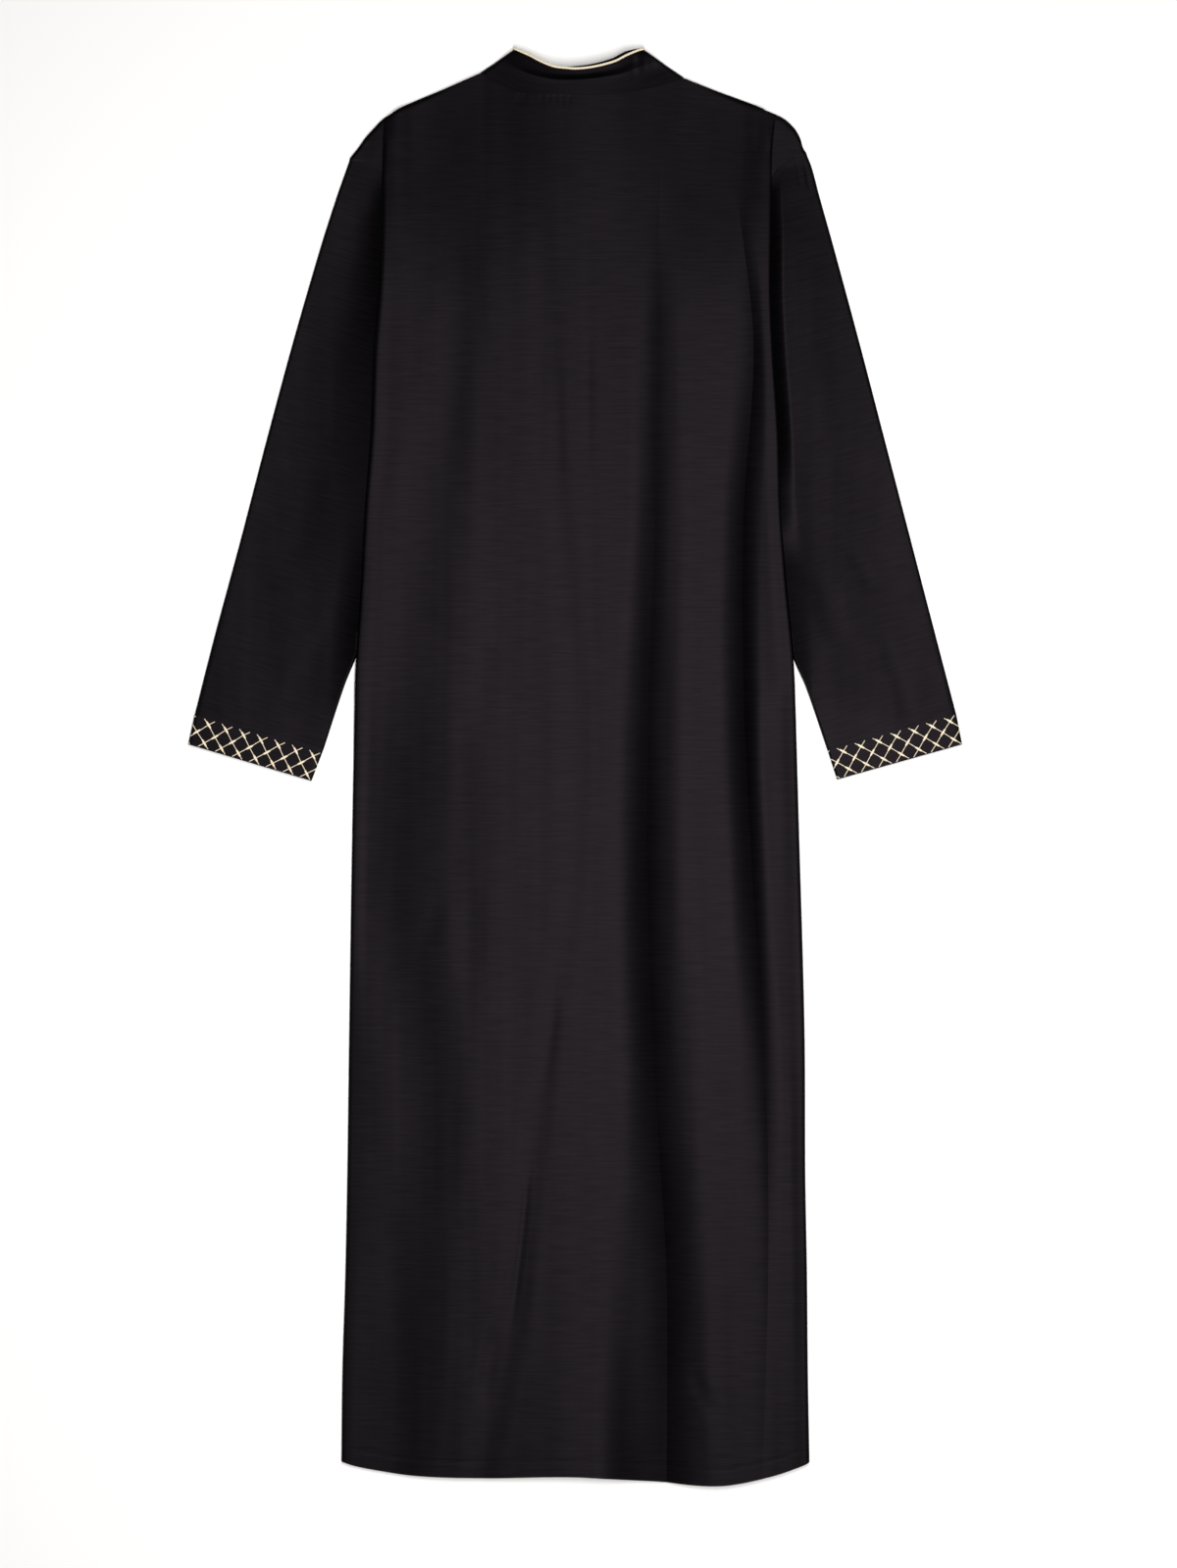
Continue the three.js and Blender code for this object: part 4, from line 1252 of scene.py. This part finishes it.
def painted_board(name, colour):
    """A matt painted board under the garment."""
    made, tree = material(name)
    shader = add(tree, "ShaderNodeBsdfPrincipled",
                 {"Base Color": linear(colour), "Roughness": 0.9, "Specular IOR Level": 0.2})
    add(tree, "ShaderNodeOutputMaterial", Surface=shader.outputs[0])
    return made


def shared(key):
    """The garment's materials, each made once."""
    if key not in bpy.data.materials:
        look = bpy.context.scene.qamis_look
        if key == "Woven suiting":
            woven_suiting(key, look.cloth, look.slub, roughness=0.46)
        elif key == "Gold rayon thread":
            # The thread's second colour is painted shade between its plies.
            gold_thread(key, look.gold, look.gold_painted_shade)
        else:
            sewing_thread(key, look.cloth)
    return bpy.data.materials[key]


# ---------------------------------------------------------------- settings


class QamisLook(bpy.types.PropertyGroup):
    """Colours of the garment and the stage, as sRGB hex codes."""

    cloth: bpy.props.StringProperty(
        name="Cloth", description="Colour of the cloth between its slubs", default="#020202")
    slub: bpy.props.StringProperty(
        name="Slub", description="Colour of the thicker weft threads", default="#060506")
    gold: bpy.props.StringProperty(
        name="Gold", description="Colour of the embroidery and the cord", default="#f4e8cf")
    # Painted shade: a darker gold, painted in as the shade between the thread's plies.
    gold_painted_shade: bpy.props.StringProperty(
        name="Gold shade", description="Colour between the thread's plies", default="#d3b88c")
    floor: bpy.props.StringProperty(
        name="Floor", description="Colour of the floor", default="#f7f6f4")


class QamisSewing(bpy.types.PropertyGroup):
    """Sizes of the sewing, in millimetres."""

    hem_depth: bpy.props.FloatProperty(
        name="Hem depth", description="From the hem's edge to its stitched line",
        default=17.0, min=5, max=60)
    stitch: bpy.props.FloatProperty(
        name="Stitch", description="Length of a stitch with its gap", default=3.2, min=1, max=8)


# ---------------------------------------------------------------- operators


class QAMIS_OT_stage(bpy.types.Operator):
    """Adds the camera, the floor and the soft lights"""

    bl_idname = "qamis.stage"
    bl_label = "Stage"

    def execute(self, context):
        scene = context.scene
        camera = bpy.data.objects.new("Camera", bpy.data.cameras.new("Camera"))
        camera.data.lens = CAMERA["lens"]
        camera.data.sensor_width = CAMERA["sensor"]
        x, y, z = CAMERA["over"]
        camera.location = (x, y, z + max(CAMERA["frame"]) * CAMERA["lens"] / CAMERA["sensor"])
        scene.collection.objects.link(camera)
        scene.camera = camera

        bm = bmesh.new()
        bmesh.ops.create_grid(bm, x_segments=1, y_segments=1, size=FLOOR["half"])
        bmesh.ops.translate(bm, verts=bm.verts, vec=(0, 0, -FLOOR["drop"]))
        floor = finish_mesh("floor", bm, smooth_shading=False)
        floor.data.materials.append(painted_board("Painted board", scene.qamis_look.floor))

        for name, place, turn, size, power in LIGHTS:
            light = bpy.data.lights.new(name, "AREA")
            light.shape = "RECTANGLE"
            light.size, light.size_y = size
            light.energy = power
            lamp = bpy.data.objects.new(name, light)
            lamp.location = place
            lamp.rotation_euler = (0, math.radians(turn), 0)
            scene.collection.objects.link(lamp)

        world = bpy.data.worlds.new("Pale room")
        world.use_nodes = True
        world.node_tree.nodes["Background"].inputs["Color"].default_value = linear("#ffffff")
        world.node_tree.nodes["Background"].inputs["Strength"].default_value = WORLD_LIGHT
        scene.world = world
        scene.view_settings.view_transform = "Standard"
        return {"FINISHED"}


class QAMIS_OT_back(bpy.types.Operator):
    """Lays the back with its long folds and turned-under sides, and the shoulders outside them"""

    bl_idname = "qamis.back"
    bl_label = "Back"

    def execute(self, context):
        sew = context.scene.qamis_sewing
        points = back_points(sew)
        flat = np.stack([arc_lengths(points), points[..., 1] * MM], axis=-1)
        first = LAP_COLUMNS + TURN_COLUMNS
        creased = [first + column for column in CREASE_COLUMNS.values()]
        back = lay_grid("back", points, flat, creases=creased, folded=[len(points) - 2])
        thicken(back, CLOTH_WALL)
        cloth = shared("Woven suiting")
        add_piece(back, cloth, "back_panel")

        for side in SIDE:
            cap = cap_points(side, CAP_TOP + 0.2)
            flat = cap[..., :2] * MM
            yoke = lay_grid(f"shoulder_{side}", cap, flat)
            thicken(yoke, CLOTH_WALL)
            add_piece(yoke, cloth, "back_panel")

        line = hem_route(points, sew.hem_depth)
        line[:, 2] += STITCH["lift"]
        stitches = dashes(line, (0, 0, 1), sew.stitch, STITCH["share"], STITCH["width"],
                          STITCH["back_height"])
        hem = lay_grids("hem_stitches_back", stitches, closed=True)
        add_piece(hem, shared("Black sewing thread"), None)
        return {"FINISHED"}


class QAMIS_OT_front(bpy.types.Operator):
    """Lays the front with its neck slit, the placket behind the slit and their stitching"""

    bl_idname = "qamis.front"
    bl_label = "Front"

    def execute(self, context):
        sew = context.scene.qamis_sewing
        cloth = shared("Woven suiting")
        points = front_points()
        top = float(front_neckline_at(CENTRE))
        slit_end = top - SLIT_LENGTH

        def in_slit(centre):
            """Whether a face lies in the slit."""
            return abs(centre.x - CENTRE) < SLIT_WIDTH / 2 and centre.y > slit_end

        front = lay_grid("front", points, points[..., :2] * MM, opening=in_slit)
        thicken(front, CLOTH_WALL)
        add_piece(front, cloth, "front_panel")

        for side in SIDE:
            cap = cap_points(side, CLOTH + 0.1, inset=1.5)
            flat = cap[..., :2] * MM
            yoke = lay_grid(f"front_shoulder_{side}", cap, flat)
            thicken(yoke, UNDER_WALL)
            add_piece(yoke, cloth, "front_panel")

        half = PLACKET["width"] / 2
        strip_top = top - PLACKET["drop"]
        x = np.linspace(CENTRE - half, CENTRE + half, 12)
        y = np.linspace(strip_top - PLACKET["length"], strip_top, 60)
        across, up = np.meshgrid(x, y)
        level = np.full(across.shape, 2 * CLOTH + LAYER)
        strip = np.stack([across, up, level], axis=-1)
        placket = lay_grid("placket", strip, strip[..., :2] * MM)
        thicken(placket, CLOTH_WALL)
        add_piece(placket, cloth, "front_placket")

        edge = np.linspace(*FRONT_HEM["ends"], 160)
        over_hem = hem_at(edge) + FRONT_HEM["rise"] + sew.hem_depth
        lines = [np.column_stack([edge, over_hem, np.full(len(edge), FRONT_RAISE)])]
        low, high = slit_end - PLACKET_SEAM["below"], top - PLACKET_SEAM["above"]
        half -= PLACKET_SEAM["side"]
        corners = np.array([(-half, high, 0), (-half, low, 0), (half, low, 0), (half, high, 0)])
        corners += (CENTRE, 0, FRONT_RAISE)
        share = np.linspace(0, 1, 80)[:, None]
        for start, end in zip(corners, corners[1:]):
            lines.append(start + (end - start) * share)
        stitches = []
        for line in lines:
            stitches += dashes(line, (0, 0, -1), sew.stitch, STITCH["share"], STITCH["width"],
                               STITCH["front_height"])
        sewn = lay_grids("front_stitches", stitches, closed=True)
        add_piece(sewn, shared("Black sewing thread"), None)
        return {"FINISHED"}


class QAMIS_OT_sleeves(bpy.types.Operator):
    """Lays both sleeves, tucked under the body's folded sides"""

    bl_idname = "qamis.sleeves"
    bl_label = "Sleeves"

    def execute(self, context):
        for side in SIDE:
            points = sleeve_points(side)
            if side == "left":
                points = points[::-1]
            run = np.subtract(SLEEVES[side]["outer"][-1], SLEEVES[side]["outer"][3])
            length = points[..., :2] @ (run / np.linalg.norm(run))
            flat = np.stack([arc_lengths(points), length * MM], axis=-1)
            sleeve = lay_grid(f"sleeve_cloth_{side}", points, flat, closed=True,
                              creases=[SLEEVE_CREASE])
            thicken(sleeve, CLOTH_WALL)
            add_piece(sleeve, shared("Woven suiting"), f"sleeve_{side}")
        return {"FINISHED"}


class QAMIS_OT_cuffs(bpy.types.Operator):
    """Adds the cuff bands and embroiders their lattice all round"""

    bl_idname = "qamis.cuffs"
    bl_label = "Cuffs"

    def execute(self, context):
        for side in SIDE:
            points = cuff_points(side)
            if side == "left":
                points = points[::-1]
            flat = np.stack([
                arc_lengths(points),
                np.broadcast_to(np.linspace(0, 0.033, len(points))[:, None], points.shape[:2]),
            ], axis=-1)
            cuff = lay_grid(f"cuff_band_{side}", points, flat, closed=True)
            thicken(cuff, BAND_WALL)
            add_piece(cuff, shared("Woven suiting"), f"cuff_{side}")
            sewn = lay_grids(f"embroidery_{side}", embroidery(side), closed=True)
            add_piece(sewn, shared("Gold rayon thread"), None)
        return {"FINISHED"}


class QAMIS_OT_collar(bpy.types.Operator):
    """Stands up the collar and lays the gold cord along its edge"""

    bl_idname = "qamis.collar"
    bl_label = "Collar"

    def execute(self, context):
        low = np.linspace(0, COLLAR_CREASE, 12)
        ups = np.concatenate([low, np.linspace(COLLAR_CREASE, 1, 12)[1:]])
        points = collar_points(collar_shares(80), ups)
        flat = np.stack([
            arc_lengths(points), np.broadcast_to(0.035 * ups[:, None], points.shape[:2]),
        ], axis=-1)
        collar = lay_grid("standing_collar", points, flat, folded=[len(low) - 1])
        thicken(collar, BAND_WALL)
        add_piece(collar, shared("Woven suiting"), "collar")
        route, up = cord_route()
        twisted = thread(
            route, up, CORD["width"], CORD["width"], 12, CORD["lobes"], CORD["turn"],
            CORD["taper"],
        )
        cord = lay_grids("collar_cord", [twisted], closed=True)
        add_piece(cord, shared("Gold rayon thread"), "collar_piping")
        return {"FINISHED"}


class QAMIS_PT_panel(bpy.types.Panel):
    """Lists the garment's pieces"""

    bl_label = "Qamis"
    bl_space_type = "VIEW_3D"
    bl_region_type = "UI"
    bl_category = "Qamis"

    def draw(self, context):
        layout = self.layout
        for group in (context.scene.qamis_look, context.scene.qamis_sewing):
            for key in group.bl_rna.properties.keys():
                if key not in {"rna_type", "name"}:
                    layout.prop(group, key)
        for operator in STEPS:
            layout.operator(operator.bl_idname)


STEPS = [
    QAMIS_OT_stage, QAMIS_OT_back, QAMIS_OT_front, QAMIS_OT_sleeves, QAMIS_OT_cuffs,
    QAMIS_OT_collar,
]
CLASSES = [QamisLook, QamisSewing, *STEPS, QAMIS_PT_panel]


def register():
    """Adds the classes and the scene's settings."""
    for cls in CLASSES:
        bpy.utils.register_class(cls)
    bpy.types.Scene.qamis_look = bpy.props.PointerProperty(type=QamisLook)
    bpy.types.Scene.qamis_sewing = bpy.props.PointerProperty(type=QamisSewing)


def unregister():
    """Takes them away again."""
    del bpy.types.Scene.qamis_sewing
    del bpy.types.Scene.qamis_look
    for cls in reversed(CLASSES):
        bpy.utils.unregister_class(cls)


def main():
    """Builds the stage and every piece."""
    register()
    for step in STEPS:
        group, name = step.bl_idname.split(".")
        getattr(getattr(bpy.ops, group), name)()


if __name__ == "__main__":
    main()
